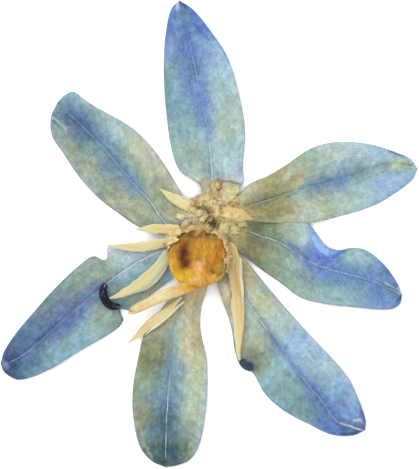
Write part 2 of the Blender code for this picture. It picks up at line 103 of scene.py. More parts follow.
# Each tepal's midrib and margins run from claw to tip, nearly as its solid has them. Left is the left
# for an eye at the claw looking along the tepal, and -1 where a side is a number. The dish lifts the
# margins, the tip lifts the tip, and lifts are (side, place along, reach along, height) for raised
# stretches of margin. Both washes are (place along, colour). The stripe is the dark band over the midrib:
# (place along, reach to its left, to its right, colour, strength), and the rib is the fine line in it:
# (place along, colour, strength). Rims run along a margin: (side, from, to, width, colour, strength).
# Blots are soft spots: (place along, place across from -1 to 1, reach along, reach across, colour,
# strength). Creases are (width, colour, strength, height of the fold, then x and y of each point).
TEPALS = {
    "tepal_top": tables(
        midrib="-.1 1.05, .15 2.55, .2 3.65, 0 6.1, -.6 9.35, -1.25 12.3, -1.75 14.25, -1.9 15.15",
        left="""-.4 1.1, -.45 2.5, -.6 3.2, -1.05 3.55, -1.9 4.1, -2.45 5.6, -2.8 8.05, -2.95 11,
            -2.8 13.15, -2.45 14.6, -1.9 15.15""",
        right=""".2 1.05, 1 2, 1.95 3.05, 2.25 3.5, 2.2 4.3, 2.35 6.75, 2 8.85, 1.25 11.4, .15 13.15,
            -1.05 14.6, -1.9 15.15""",
        dish=0.2, tip=0.35, lifts="1 .62 .2 .15",
        left_wash="""0 khaki, .16 khaki, .2 pale_sage, .27 sage, .38 aqua, .5 teal, .65 teal,
            .75 blue_grey, .84 river, .95 river, 1 deep_teal""",
        right_wash="""0 khaki, .14 sand, .19 mist, .3 pale_aqua, .45 pale_sage, .58 pale_aqua,
            .7 sky_pale, .82 sky, .9 river, .96 slate, 1 deep_teal""",
        stripe=""".3 .05 .05 periwinkle 0, .37 .3 .3 periwinkle .6, .5 .6 .5 periwinkle 1,
            .6 .75 .6 periwinkle .9, .7 .85 .7 slate .9, .8 .9 .8 slate .9, .88 .5 .5 slate .5,
            .95 .4 .4 dull_steel .3, 1 .2 .1 navy .3""",
        rib=""".15 pearl .2, .2 pearl .9, .32 pearl .7, .4 mist .2, .5 mist .55, .83 mist .5,
            .86 navy .25, 1 navy .3""",
        rims="""1 .8 .98 .45 cobalt .8, 1 .7 .82 .1 navy .5, -1 .88 .97 .25 slate .5,
            -1 .78 .93 .3 cobalt .6, 1 .2 .7 .2 mist .4""",
        blots=""".19 -.9 .3 .5 pearl .6, .22 -.2 .7 .6 deep_sage .45, .33 -.5 .5 .5 olive_sage .35,
            .45 -.8 .8 .4 olive_sage .15, .2 -.05 .7 .45 dull_teal .35, .4 .15 .6 .2 sky .5,
            .3 -.35 .6 .4 aqua .4, .95 -.75 .4 .25 slate .5, .5 -.85 .6 .3 aqua .5,
            .62 -.6 .9 .3 sky .4, .73 -.5 .5 .4 deep_teal .15, .8 -.8 .6 .3 sky .3,
            .4 .45 .8 .7 cream_green .4, .73 .25 .5 .2 aqua .4, .2 .8 .4 .5 pearl .6,
            .87 .7 .9 .25 cobalt .7, .96 -.4 .22 .22 mist .8, .99 0 .15 .3 olive .5""",
        creases=""".07 indigo .4 -.03 -1.3 14.3 -.91 13.65 -.52 13.13 0 12.61,
            .13 deep_teal .6 -.02 -1.82 14.37 -1.69 13.91 -1.63 13.52,
            .13 dark_teal .7 0 -1.82 15.08 -1.5 14.69, .14 ice 1 .04 -2.02 14.88 -2.02 14.56,
            .06 umber .8 0 -1.04 3.51 -.78 3.32, .045 umber .7 0 .85 3.45 1.4 3.4 2 3.25""",
    ),
    "tepal_upper_left": tables(
        midrib="""-1.06 .47, -2.65 .6, -3.85 2.15, -5.25 3.65, -6.75 5.45, -8.05 6.8, -9.55 8.25,
            -9.85 8.55""",
        left="""-1.12 .22, -3.2 0, -4.55 .45, -5.9 1.35, -7.15 2.3, -8.45 3.7, -9.55 5.35, -10.2 6.35,
            -10.25 7.55, -9.85 8.55""",
        right="""-1 .72, -1.3 1.8, -1.8 2.65, -2.8 4.35, -3.85 5.8, -5.15 7, -7.4 8.3, -8.1 8.75,
            -8.8 9.25, -9.35 9.05, -9.85 8.55""",
        dish=0.15, tip=0.25, lifts="-1 .9 .14 .25",
        left_wash="""0 khaki, .12 sage, .22 sage, .3 sage_sand, .42 sage_sand, .5 dull_sage,
            .65 sage_sand, .8 dull_sage, .88 sage, 1 dull_teal""",
        right_wash="""0 olive, .15 sand, .25 sage_sand, .35 cream_green, .5 cream_green, .62 pale_sage,
            .72 sage, .85 aqua, .95 aqua, 1 teal""",
        stripe=""".27 .2 .25 dull_teal .3, .36 .45 .5 dull_steel .7, .45 .6 .65 dull_steel .85,
            .6 .8 .8 dull_steel 1, .7 .9 .75 dull_steel 1, .77 .85 .65 deep_steel 1,
            .83 .85 .6 deep_steel 1, .9 .85 .55 deep_slate .95, .95 .6 .45 dull_steel .8,
            1 .3 .3 teal .5""",
        rib=".1 pearl .7, .2 pearl 1, .3 pearl .8, .4 mist .4, .7 mist .45, .85 mist .55, 1 mist .2",
        rims="""-1 .5 .85 .15 lavender .6, -1 .2 .45 .1 moss .5, 1 .15 .6 .4 dove_light .6,
            1 .5 .95 .15 mist .6""",
        blots=""".18 -.4 .5 .4 pale_sage .6, .23 -.7 .4 .3 brown .3, .3 -.9 .6 .3 cream .6,
            .42 -.9 .5 .3 pale_sage .4, .42 -.6 .7 .4 dull_sage .7, .57 -.85 .8 .3 aqua .4,
            .55 -.15 1 .22 dull_steel .5, .5 .6 .6 .3 pale_sage .6, .42 .9 .6 .3 dove_light .6,
            .8 0 .7 .3 deep_slate .5, .52 -.35 .9 .4 grey_teal .4, .52 .3 1.3 .3 grey_teal .45,
            .3 .15 .6 .3 olive_sage .5, .86 .65 .7 .25 pale_aqua .5, .2 .85 .4 .3 dove_light .6,
            .72 -.55 1 .35 olive_sage .4, .87 -.75 .3 .4 mist .5, .94 -.6 .4 .4 grey_teal .6,
            .2 .2 .4 .3 olive_sage .7, .33 .3 .5 .3 khaki .3, .46 .65 .5 .3 pink_beige .15,
            .5 .35 .8 .3 dull_sage .5, .8 .6 .7 .35 dull_teal .4, .06 .6 .6 .5 moss .7""",
        creases=""".09 pale_aqua .8 .05 -10.2 7.6 -9.8 7.28 -9.3 6.83,
            .08 dark_sage .6 -.02 -10.08 7.35 -9.69 6.96""",
    ),
    "tepal_lower_left": tables(
        midrib="""-1 -.2, -2.85 -.9, -4.5 -1.75, -6.1 -2.8, -7.75 -4.15, -9.7 -5.8, -11.65 -7.55,
            -12.8 -8.25, -13.55 -8.4""",
        left="""-.87 -.42, -2.15 -2.55, -3.7 -3.9, -5.2 -4.95, -5.75 -4.9, -5.75 -5.2, -5.6 -5.65,
            -6.1 -6.25, -8.4 -7.6, -10.35 -8.8, -12.3 -9.5, -13.25 -9.05, -13.55 -8.4""",
        right="""-1.12 -.02, -2.85 -.3, -5.15 -.7, -6.55 -.85, -6.65 -1.55, -6.9 -1.7, -7.5 -1.45,
            -8.1 -1.75, -9.7 -3.2, -11.3 -4.95, -12.6 -6.5, -13.3 -7.6, -13.55 -8.4""",
        dish=0.18, tip=0.3, lifts="-1 .7 .2 .12",
        left_wash="""0 khaki, .15 aqua, .3 aqua, .42 dull_teal, .5 sage, .6 aqua, .75 aqua, .85 teal,
            .9 deep_teal, .95 navy, 1 navy""",
        right_wash="""0 khaki, .15 dove, .25 mist, .33 mist, .4 dull_sage, .5 dull_sage, .58 grey_teal,
            .75 grey_teal, .85 deep_teal, .92 deep_steel, 1 navy""",
        stripe=""".33 .15 .1 sky .2, .4 .4 .2 slate .6, .5 .6 .5 slate .8, .6 .75 .7 indigo .95,
            .7 .85 .9 indigo 1, .8 .8 1 deep_slate 1, .88 .9 .9 deep_slate 1, .94 1.1 1.1 navy .95,
            1 .6 .6 navy .9""",
        rib=".12 pearl .8, .18 pearl 1, .4 pearl 1, .5 mist .35, .85 mist .3, .95 mist .6, 1 mist .2",
        rims="""1 .5 .85 .15 deep_teal .4, -1 .42 .52 .1 moss .5, -1 .9 .98 .5 navy .5,
            1 .9 .98 .5 navy .5""",
        blots=""".22 -.05 .3 .2 grey_stain .3, .2 -.4 .7 .35 pale_sage .8, .3 -.6 .8 .4 sage .6,
            .15 .3 .5 .4 dove_light .6, .6 .75 .6 .4 grey_teal .4, .57 0 .6 .2 indigo .5,
            .4 .6 .4 .45 grey_teal .6, .42 .3 .4 .3 grey_teal .4, .5 .35 .4 .3 grey_teal .5,
            .4 -.45 .5 .3 sage_sand .7, .87 -.2 .5 .3 navy .5, .62 .9 .7 .3 lavender .3,
            .53 -.5 .6 .35 dull_sage .6, .56 -.85 .8 .4 pale_aqua .5, .8 -.85 .9 .35 aqua .5,
            .88 -.6 .6 .35 cyan_teal .5, .98 .1 .15 .25 pearl .6, .7 .75 .7 .4 deep_sage .4,
            .72 .9 .8 .3 dark_sage .3, .27 -.9 1 .3 pale_khaki .7""",
        creases=""".05 pearl .7 .03 -4.4 -1.75 -3.5 -1.25 -2.85 -.95,
            .18 lilac_grey .8 .03 -13.3 -8.3 -13.05 -8.62, .17 night .8 0 -13.07 -8.13 -12.7 -8.45,
            .22 navy .5 0 -13.26 -7.93 -12.68 -7.87""",
    ),
    "tepal_bottom": tables(
        midrib="""-.45 -.68, -1.25 -3, -1.9 -4.6, -2.3 -6.25, -2.5 -8.85, -2.7 -11.1, -2.8 -13.4,
            -2.8 -15.15""",
        left="""-.15 -.75, .1 -2.3, -.15 -3.65, -.5 -4.8, -.55 -6.25, -.15 -8.3, -.15 -10.8,
            -.5 -13.25, -1.15 -14.6, -2.1 -15.05, -2.8 -15.15""",
        right="""-.72 -.6, -1.8 -3, -3.05 -4.8, -4.15 -6.35, -4.6 -8.05, -4.95 -10, -4.95 -11.75,
            -4.55 -13.7, -3.75 -14.7, -2.8 -15.15""",
        dish=0.18, tip=0.3, lifts="1 .75 .2 .12",
        left_wash="""0 khaki, .18 pink_beige, .28 pale_khaki, .4 pale_khaki, .5 cream, .6 cream_green,
            .74 cream_green, .82 dull_sage, .9 olive_sage, 1 moss""",
        right_wash="""0 khaki, .25 sand, .36 sand, .42 olive_sage, .52 olive, .6 olive_sage,
            .75 olive_sage, .86 olive_sage, .93 moss, 1 moss""",
        stripe=""".28 .1 .1 aqua .3, .36 .35 .3 pale_sage .5, .45 .4 .4 dull_teal .75,
            .55 .7 .55 dull_steel .8, .62 .8 .85 dull_steel .9, .7 .9 1.1 dull_steel 1,
            .76 1 1.15 dark_steel 1, .86 1.05 1.2 dark_steel 1, .89 1.1 1.3 dark_teal .95,
            .96 1.2 1.3 sea_char .95, 1 .8 .8 moss .7""",
        rib=""".25 cyan_teal .3, .45 deep_teal .5, .56 deep_teal .4, .6 pearl .6, .7 pearl .8,
            .93 mist .9, 1 mist .3""",
        rims="""-1 .5 .85 .3 mist .5, 1 .4 .62 .12 pink_beige .25, 1 .66 .9 .35 sage_sand .5,
            -1 .9 1 .12 moss .6""",
        blots=""".25 0 .6 .5 pale_khaki .6, .27 -.9 .5 .3 cream .5, .2 -.6 .5 .4 peach .55,
            .3 .12 .35 .25 khaki .5, .23 -.65 .7 .4 pale_khaki .7, .4 -.15 .6 .25 sage .5,
            .72 -.92 1.2 .2 mist .6, .85 -.7 .7 .3 sage_sand .5, .88 .9 .5 .3 moss .5,
            .68 -.25 .6 .3 deep_steel .4, .45 -.7 .5 .35 ochre .3, .38 .1 .5 .4 pale_sage .4,
            .46 .5 .6 .45 khaki .5, .52 .7 .5 .4 olive .6, .74 .7 .5 .35 ochre .45,
            .6 .35 .7 .3 grey_teal .4, .62 .75 .6 .4 dull_sage .5, .55 -.3 .5 .25 sage .5,
            .82 -.6 .4 .3 olive_sage .2, .9 .9 .4 .3 olive .5""",
        creases=""".12 char_teal .85 0 -3.2 -14.75 -2.73 -14.82,
            .1 char_teal .6 0 -3.3 -15 -2.9 -15.08, .08 sand .5 .04 -4.48 -12.4 -4.16 -13.7 -3.7 -14.5,
            .15 moss .5 -.02 -1.36 -13.4 -1.69 -14.4""",
    ),
    "tepal_lower_right": tables(
        midrib=""".27 -.6, 1.35 -2.4, 2.2 -3.95, 3.45 -5.8, 4.75 -7.5, 6.1 -9.35, 7.35 -10.9,
            8.3 -12.15, 9.3 -12.55, 10.15 -12.75""",
        left=""".45 -.45, 1.6 -1.05, 2.4 -1.7, 3.05 -2.5, 4.85 -4.65, 6.4 -6.4, 9.05 -9.3, 9.8 -10.9,
            10.2 -12.15, 10.15 -12.75""",
        right=""".05 -.7, .4 -2.2, .65 -3.6, 1.45 -6.1, 1.7 -7.65, 2.1 -8.65, 2.85 -9.05, 3.6 -10.35,
            4.8 -11.45, 6.55 -12.4, 8 -13.05, 9.3 -13.1, 10.15 -12.75""",
        dish=0.18, tip=0.3, lifts="1 .78 .15 .15",
        left_wash="""0 khaki, .13 sand, .22 sand, .3 cream_green, .38 pale_sage, .45 pale_aqua,
            .52 sky_pale, .62 sky_pale, .7 pale_aqua, .8 sky, .88 blue_grey, .94 periwinkle,
            1 blue_grey""",
        right_wash="""0 khaki, .2 sand, .32 pale_sage, .42 sage_sand, .5 dull_sage, .57 aqua, .68 teal,
            .8 dull_teal, .85 slate, .94 slate, 1 slate""",
        stripe=""".22 .2 .2 aqua .4, .38 .2 .15 dull_teal .4, .46 .3 .2 slate .5, .56 .35 .3 slate .5,
            .63 .4 .4 periwinkle .7, .7 .55 .5 slate .85, .8 .5 .8 slate .95, .9 .45 1.1 slate 1,
            .96 .4 1 indigo .95, 1 .4 .4 slate .6""",
        rib=""".2 mist .7, .24 pearl 1, .4 pearl 1, .44 navy .4, .58 navy .3, .65 mist .6,
            .85 mist .55, .95 pearl .8, 1 pearl .3""",
        rims="""-1 .35 .85 .25 mist .5, -1 .92 .98 .1 indigo .3, 1 .34 .44 .12 moss .6,
            1 .84 .97 .5 cobalt .6""",
        blots=""".16 -.5 .4 .5 ochre .3, .22 -.45 .3 .25 ochre .5, .3 -.65 .35 .3 ochre .15,
            .3 -.9 .7 .35 pale_aqua .6, .2 .65 .6 .4 ivory .8, .31 .75 .9 .4 dove_light .8,
            .42 0 .6 .25 teal .5, .46 .6 .7 .35 moss .45, .6 .05 .35 .15 sky .5, .7 -.4 .5 .35 teal .5,
            .95 -.9 .3 .2 sky .6, .46 -.5 .35 .25 cream_green .4, .37 .3 .3 .2 cream_green .3,
            .5 .75 .4 .4 olive_sage .6, .62 -.35 .6 .3 aqua .4, .72 .6 .9 .5 teal .4,
            .88 -.5 .7 .35 iris .55, .87 .65 .8 .5 cobalt .45, .95 -.25 .25 .4 dull_sage .5,
            .46 .95 .5 .35 patch_slate .75, .49 .9 .3 .25 patch_slate .6""",
        creases=""".09 ice .9 .05 9.43 -12.09 9.82 -12.03 10 -12.29,
            .06 mist .9 .05 8.58 -12.29 9.04 -12.42 9.56 -12.61 9.95 -12.74,
            .1 indigo .5 -.02 8.5 -11.96 9.17 -12.16, .17 dusk .7 0 10 -11.57 10.08 -12.1 10 -12.6,
            .08 night .6 0 8.65 -13 9.3 -12.94 9.95 -12.74""",
    ),
    "tepal_right": tables(
        midrib=".72 0, 2 .3, 3.45 -.15, 4.6 -.55, 6.45 -1.75, 7.85 -2.3, 10.45 -3, 12.55 -3.95",
        left=""".78 .25, 2 .6, 2.6 .8, 3.3 .92, 4 1, 5 1.05, 6.1 1, 6.7 .45, 7.55 -.7, 8.3 -1.05,
            9.3 -.9, 10.2 -1.05, 11.4 -2, 12.3 -3.25, 12.55 -3.95""",
        right=""".65 -.25, 1.6 -.85, 2.45 -1.55, 3.6 -2.45, 4.75 -3.25, 5.9 -4.1, 7.55 -4.55, 9.8 -4.8,
            11.75 -4.9, 12.4 -4.55, 12.55 -3.95""",
        dish=0.18, tip=0.3, lifts="-1 .6 .1 .45",
        left_wash="""0 cream, .1 khaki, .17 moss, .22 moss, .28 olive_sage, .36 sage, .42 pale_sage,
            .48 river, .6 river, .66 aqua, .74 aqua, .8 blue_grey, .88 river, 1 blue_grey""",
        right_wash="""0 khaki, .12 khaki, .2 olive, .28 olive_sage, .36 dull_sage, .42 sage, .55 sage,
            .65 aqua, .72 aqua, .8 blue_grey, .88 river, 1 river""",
        stripe=""".3 .15 .2 dull_teal .3, .38 .35 .3 dull_steel .8, .48 .5 .7 iris .8,
            .6 .6 .8 iris .9, .72 .65 .75 iris .9, .82 .7 .65 iris .8, .92 .6 .6 slate .6,
            1 .2 .2 navy .4""",
        rib=""".15 butter .5, .2 cream .8, .33 pearl .8, .4 mist .4, .5 mist .4, .58 pearl .5,
            .8 mist .5, .86 cream_green .8, .96 cream_green .7, 1 pearl .4""",
        rims="""-1 .82 .98 .5 cobalt .6, 1 .92 1 .3 cobalt .3, -1 .1 .35 .2 sand .6,
            1 .96 1 .15 indigo .6, 1 .15 .32 .1 moss .5""",
        blots=""".17 -.4 .9 .5 olive .5, .4 -.75 .5 .35 pale_sage .6, .36 -.3 .5 .4 dull_sage .5,
            .42 -.35 .35 .3 mist .35, .5 -.6 .8 .45 sky .6, .58 -.55 .45 .3 violet_blue .55,
            .61 -.18 .35 .15 bright_sky .5, .5 .5 1 .5 grey_teal .5, .88 .9 .4 .25 sky .6,
            .56 -.9 .5 .25 bright_sky .6, .94 -.85 .3 .25 river .9, .62 .5 .6 .4 teal .4,
            .5 0 .5 .15 indigo .4, .2 .3 .7 .5 olive .4, .12 .1 .5 .5 ochre .4,
            .7 -.6 .45 .35 pale_sage .55, .35 .7 .6 .4 dull_sage .4, .88 -.5 .4 .2 dull_teal .4,
            .62 .75 .8 .4 aqua .4, .93 .5 .4 .4 river .5, .98 .5 .2 .2 navy .6,
            .97 -.1 .2 .15 pale_sage .6""",
        # The first three creases (periwinkle, violet_blue, cobalt) run along the free edge of the
        # folded-over margin and are painted shade beside the fold.
        creases="""
            .2 periwinkle .25 -.02 6.6 .39 6.7 -.39 6.98 -1.04 7.44 -1.58 7.87 -1.72 8.32 -1.53 8.78 -1.2,
            .16 violet_blue .6 -.02 6.98 -1.3 7.3 -1.6 7.75 -1.72,
            .14 cobalt .5 -.02 7.75 -1.72 8.3 -1.4 8.9 -1.1, .12 mist .6 .02 5.9 -.75 6.2 -.6 6.3 -.3,
            .07 mist .35 .02 6.6 -1.75 6.9 -1.9 7.2 -1.95, .1 navy .35 -.02 5.7 -.9 5.95 -1.2 6.4 -1.7,
            .08 deep_teal .6 -.02 11.1 -3.19 11.6 -3.5 12.2 -3.77,
            .06 pale_aqua .8 .03 11.44 -3.19 12.2 -3.58, .16 pale_aqua .8 0 12.3 -3.5 12.5 -3.77,
            .08 night .6 0 12.2 -4.4 12.5 -3.97""",
    ),
    "tepal_upper_right": tables(
        midrib=".57 .67, 2 1.6, 3.2 2, 5.9 2.85, 7.85 3.45, 9.8 3.95, 11.9 4.5, 13.55 4.25",
        left=""".42 .85, 1.25 1.85, 2.2 2.85, 2.7 3.3, 3.85 3.8, 4.95 4.45, 6.7 5.6, 8.5 6, 10.45 5.85,
            12.1 5.35, 13.15 4.85, 13.55 4.25""",
        right=".72 .48, 2 .8, 4.6 .7, 6.65 .75, 8.85 1.25, 10.8 1.9, 12.4 2.85, 13.25 3.6, 13.55 4.25",
        dish=0.15, tip=0.35, lifts=[],
        left_wash="""0 khaki, .15 sand, .22 sand, .29 khaki, .36 khaki, .43 sage_sand, .52 sage,
            .6 pale_sage, .7 pale_aqua, .82 sky_pale, 1 sky_pale""",
        right_wash="""0 khaki, .15 khaki, .25 olive, .33 khaki, .4 cream_green, .5 cream_green,
            .6 pale_sage, .7 pale_aqua, .8 sky_pale, .9 sky_pale, 1 sky_pale""",
        stripe=""".12 .3 .3 olive .6, .25 .5 .5 olive .7, .33 .5 .3 olive .6, .4 .2 .25 dull_teal .7,
            .48 .4 .35 dull_steel .9, .56 .6 .5 dull_steel .95, .65 .7 .55 dull_steel .9,
            .73 .6 .5 dull_teal .7, .8 .5 .4 sage .6, .93 .5 .3 sage .7, 1 .2 .2 sky .2""",
        rib=""".15 cream_green .5, .28 cream_green .8, .4 cream_green .8, .48 mist .3, .55 navy .3,
            .7 navy .25, .86 cream_green .5, .95 butter .4, 1 mist .2""",
        rims="-1 .55 .95 .2 mist .5, -1 .87 .93 .15 indigo .7, 1 .22 .45 .35 cream_green .8",
        blots=""".87 .1 .4 .3 teal .35, .69 0 .35 .25 dull_steel .5, .4 .65 .4 .35 mist .4,
            .21 -.8 .5 .4 dove_light .2, .3 -.4 .7 .5 olive .55, .3 .15 .6 .3 olive .45,
            .33 .85 .6 .25 dove_light .6, .41 -.8 .6 .4 pale_sage .6, .5 .2 .7 .3 grey_teal .6,
            .6 .35 .7 .35 teal .65, .7 0 .7 .35 grey_teal .45, .9 .1 .6 .25 aqua .5,
            .82 .5 .6 .4 sky .4, .36 -.25 .4 .3 brown .25, .22 .3 .7 .4 ochre .3,
            .32 .4 .5 .3 khaki .5, .43 .8 .7 .4 pale_sage .75, .5 .35 .5 .3 sage_sand .5,
            .6 .5 .5 .3 sage .4, .65 -.35 .7 .4 dull_teal .3, .88 -.35 .5 .3 sage .5,
            .92 .02 .4 .12 olive .5, .9 .05 .15 .1 butter .6, .9 .6 .6 .4 bright_sky .4,
            .82 .6 .5 .3 lavender .4""",
        creases=""".13 olive_sage .8 -.03 12.3 4.55 13.1 4.42,
            .13 lime_cream .7 0 11.96 4.36 12.35 4.55, .1 indigo .7 0 11.77 5.4 12.55 5.07""",
    ),
}
# The paint wanders in lightness, towards blue, and towards green: at each size the three amounts.
LIGHTER = np.array([0.60, 0.59, 0.54])
BLUER = np.array([-0.45, -0.23, 0.86])
GREENER = np.array([-0.63, 0.77, -0.12])
MOTTLES = ((0.8, (0.038, 0.034, 0.014)), (0.3, (0.062, 0.016, 0.008)), (0.12, (0.078, 0.008, 0.006)))

# The right tepal's margin is folded over onto the blade between these lines.
FLAP_TEPAL = "tepal_right"
FLAP = tables(
    outer="6.66 .5, 6.75 .35, 7.1 -.1, 7.55 -.7, 8 -.96, 8.5 -1.06, 9.1 -.96",
    inner="6.6 .42, 6.62 -.35, 6.92 -1, 7.4 -1.52, 7.87 -1.66, 8.35 -1.46, 9.1 -1",
    near="0 sky, .4 bright_sky, .8 bright_sky, 1 river",
    # In the flap's lower part its colour darkens towards the free edge: the cobalt and violet_blue there are
    # painted shade.
    far="0 periwinkle, .4 flap_blue, .75 cobalt, 1 violet_blue",
)
FLAP_RISE = 0.025
FLAP_THICK = 0.04
FLAP_REACH = (0.3, 0.8)  # the share of the blade's length that it can lie on
FLAP_ROWS, FLAP_COLUMNS = 110, 26

SHEET_ROWS = 220
SHEET_COLUMNS = 77
SHEET_GATHER = 1.3  # above 1, the columns stand closer together at the midrib
SHEET_END = 0.998  # a tepal's last row, as a share of its length
SHEET_SEAT = 0.46  # height of the sheet's middle over the underside of its solid
SHEET_THICK = (0.13, 0.06)  # at the midrib and at the margin
UNDERSIDE_PALER = 0.12
WAVE, CROWN, GROOVE, PLEAT, WRINKLE, FRILL, MARGIN_DROOP = 0.11, 0.05, 0.08, 0.016, 0.028, 0.13, 0.42
FLOOR_CLEAR = 0.03
OVERLAP_TEPAL = "tepal_upper_right"
OVERLAP_LIFT = 0.36
OVERLAP_END = 0.46
OVERLAP_FADE = 0.14
OVERLAP_ACROSS = (0.06, 0.69)
UNDERLAP = (0.2, 0.32, 0.3)  # the right tepal's margin rises to its neighbour: place, reach, height

# Each filament's line, its widths at the base, the middle and the tip, its colours along the middle and
# at its left and right sides, and the folded strips beside it: (line, widths, height, inner colour,
# outer colour).
FILAMENTS = {
    "filament_a": (
        rows("-.85 1.6, -1.5 1.85, -2.4 2.35, -3.2 2.95"), (0.6, 0.62, 0.35),
        (rows("0 peach, .3 butter, 1 straw"), "lime_cream", "ivory"),
        [(rows("-1 1.95, -1.7 2.3, -2.5 2.7"), (0.2, 0.26, 0.1), 0.85, "butter", "butter")],
    ),
    "filament_b": (
        rows("-1.85 .3, -2.85 .35, -3.85 .35, -4.75 .3"), (0.55, 0.62, 0.35),
        (rows("0 peach_gold, .25 peach, .5 butter, 1 straw"), "straw", "straw"),
        [],
    ),
    "filament_c": (
        rows("-2.05 -.45, -3.2 -.65, -4.35 -.85, -5.65 -.85, -6.7 -.75"), (0.6, 0.62, 0.35),
        (rows("0 peach, .15 shell, .3 butter, 1 straw"), "pale_green", "pale_straw"),
        [],
    ),
    "filament_d": (
        rows("-2.5 -1.1, -3.5 -2.4, -4.6 -3.35, -5.65 -3.9, -6.7 -4.25"), (0.7, 0.78, 0.4),
        (rows("0 pale_green, .25 straw, .5 butter, 1 straw"), "pale_green", "pale_green"),
        [(rows("-2.55 -1.5, -3.2 -2.5, -4.05 -3.3, -5.2 -3.98"),
          (0.35, 0.6, 0.2), 0.78, "pale_green", "ivory")],
    ),
    "filament_f": (
        rows("-1.75 -4.05, -2.7 -4.95, -3.85 -5.85, -4.7 -6.65, -5.35 -7.15"), (0.2, 0.64, 0.4),
        (rows("0 straw, .3 butter, .6 peach, 1 butter"), "pale_straw", "khaki_yellow"),
        [(rows("-1.6 -4.35, -2.3 -4.95, -3.2 -5.75, -4.2 -6.6"),
          (0.16, 0.3, 0.12), 0.8, "pale_straw", "ivory")],
    ),
    "filament_g": (
        rows("1.2 -.55, 1.55 -1.6, 1.78 -3.2, 1.88 -4.9, 1.93 -6.55, 1.9 -7.6, 1.98 -8.1, 2.3 -8.4"),
        (1.05, 0.78, 0.4),
        (rows("0 tan, .06 gold, .16 khaki_yellow, .25 peach, .37 peach_gold, .5 peach, 1 straw"),
         "peach_gold", "pale_straw"),
        [(rows("1.5 -2.2, 2.05 -3.9, 2.15 -5.6, 2.05 -7.2"),
          (0.2, 0.3, 0.15), 0.8, "pale_straw", "pale_green"),
         (rows("1.95 -1.5, 2 -2.6, 2.15 -3.7, 2.2 -4.7"), (0.3, 0.26, 0.1), 0.88, "ivory", "pearl"),
         (rows("1.75 -2, 1.85 -3, 2.05 -4.2"), (0.12, 0.16, 0.06), 0.95, "gold", "peach_gold")],
    ),
    "filament_h": (
        rows(".8 1.4, 1.5 1.33, 2.3 1.12, 2.95 .92"), (0.7, 0.85, 0.2),
        (rows("0 peach, .5 butter, .8 khaki_yellow, 1 khaki"), "khaki_yellow", "peach_gold"),
        [],
    ),
}
STRAP_RINGS, STRIP_RINGS, TUBE_SIDES = 110, 80, 40
STRAP_POINT = 0.4  # share of a strap's length that is drawn out to a point
STRAP_CENTRE_SHARE = 0.7  # how strongly a strap takes the torn middle's colours
FILAMENT_HALF = 0.27
FILAMENT_FLATNESS = 0.24
STRIP_FLATNESS = 0.2
STRAP_LEAST = 0.07  # a strap is at least this thick, so that its drawn-out tip is a thread
FILAMENT_SINK = 0.2  # the fine filament lies this much lower than its solid's middle
# The end of filament f sinks from this place on, over a length.
DROOP_FROM = np.array([-3.6, -5.65])
DROOP_HEADING = np.array([0.75, 0.66])
DROOP_LENGTH = 1.5
DROOP_DEPTH = 0.45
STUB_HEIGHT = 1.55  # the torn-off filament h lies level

# Each anther's line, its widths at the base, the middle and the tip, and its colour.
ANTHERS = {
    "anther_d": (
        rows("-6.7 -3.2, -6.85 -3.65, -6.8 -4.1, -6.55 -4.5, -6.15 -4.7, -5.7 -4.65"),
        (0.42, 0.54, 0.42), "ink",
    ),
    "anther_g": (
        rows("2.03 -8.15, 2.4 -8.5, 2.85 -8.75"), (0.44, 0.56, 0.44), "wet_slate",
    ),
}
ANTHER_HEIGHT = 0.93
ANTHER_POINT = 0.15
ANTHER_RINGS = 90

OVARY_MIDDLE = np.array([-0.7, -1.5, 2.0])
OVARY_HALF = np.array([2.0, 1.93, 0.86])
OVARY_UNDERSIDE = 0.6
OVARY_RINGS, OVARY_SIDES = 110, 180
OVARY_POLE = 0.015  # angle from its poles at which the rings begin
OVARY_SQUARENESS = 2.4  # seen from above
OVARY_FLATTENED = 2.8  # seen from the side, where 2 is an ellipse
FLANK_SLOPE = 0.4  # the torn tissue slopes down beside the ovary over this share of its half width
FURROW_PLACE = 0.36
FURROW_WIDTH = 0.13
FURROW_DEPTH = 0.05
# Small swellings on top, in shares of its half sizes: (x, y, reach, height).
OVARY_LUMPS = rows(""".05 -.27 .1 .08, -.02 -.72 .14 .1, .14 -.5 .09 .06, .5 -.25 .16 .06,
    -.05 .3 .07 .04, .17 .5 .08 .04""")
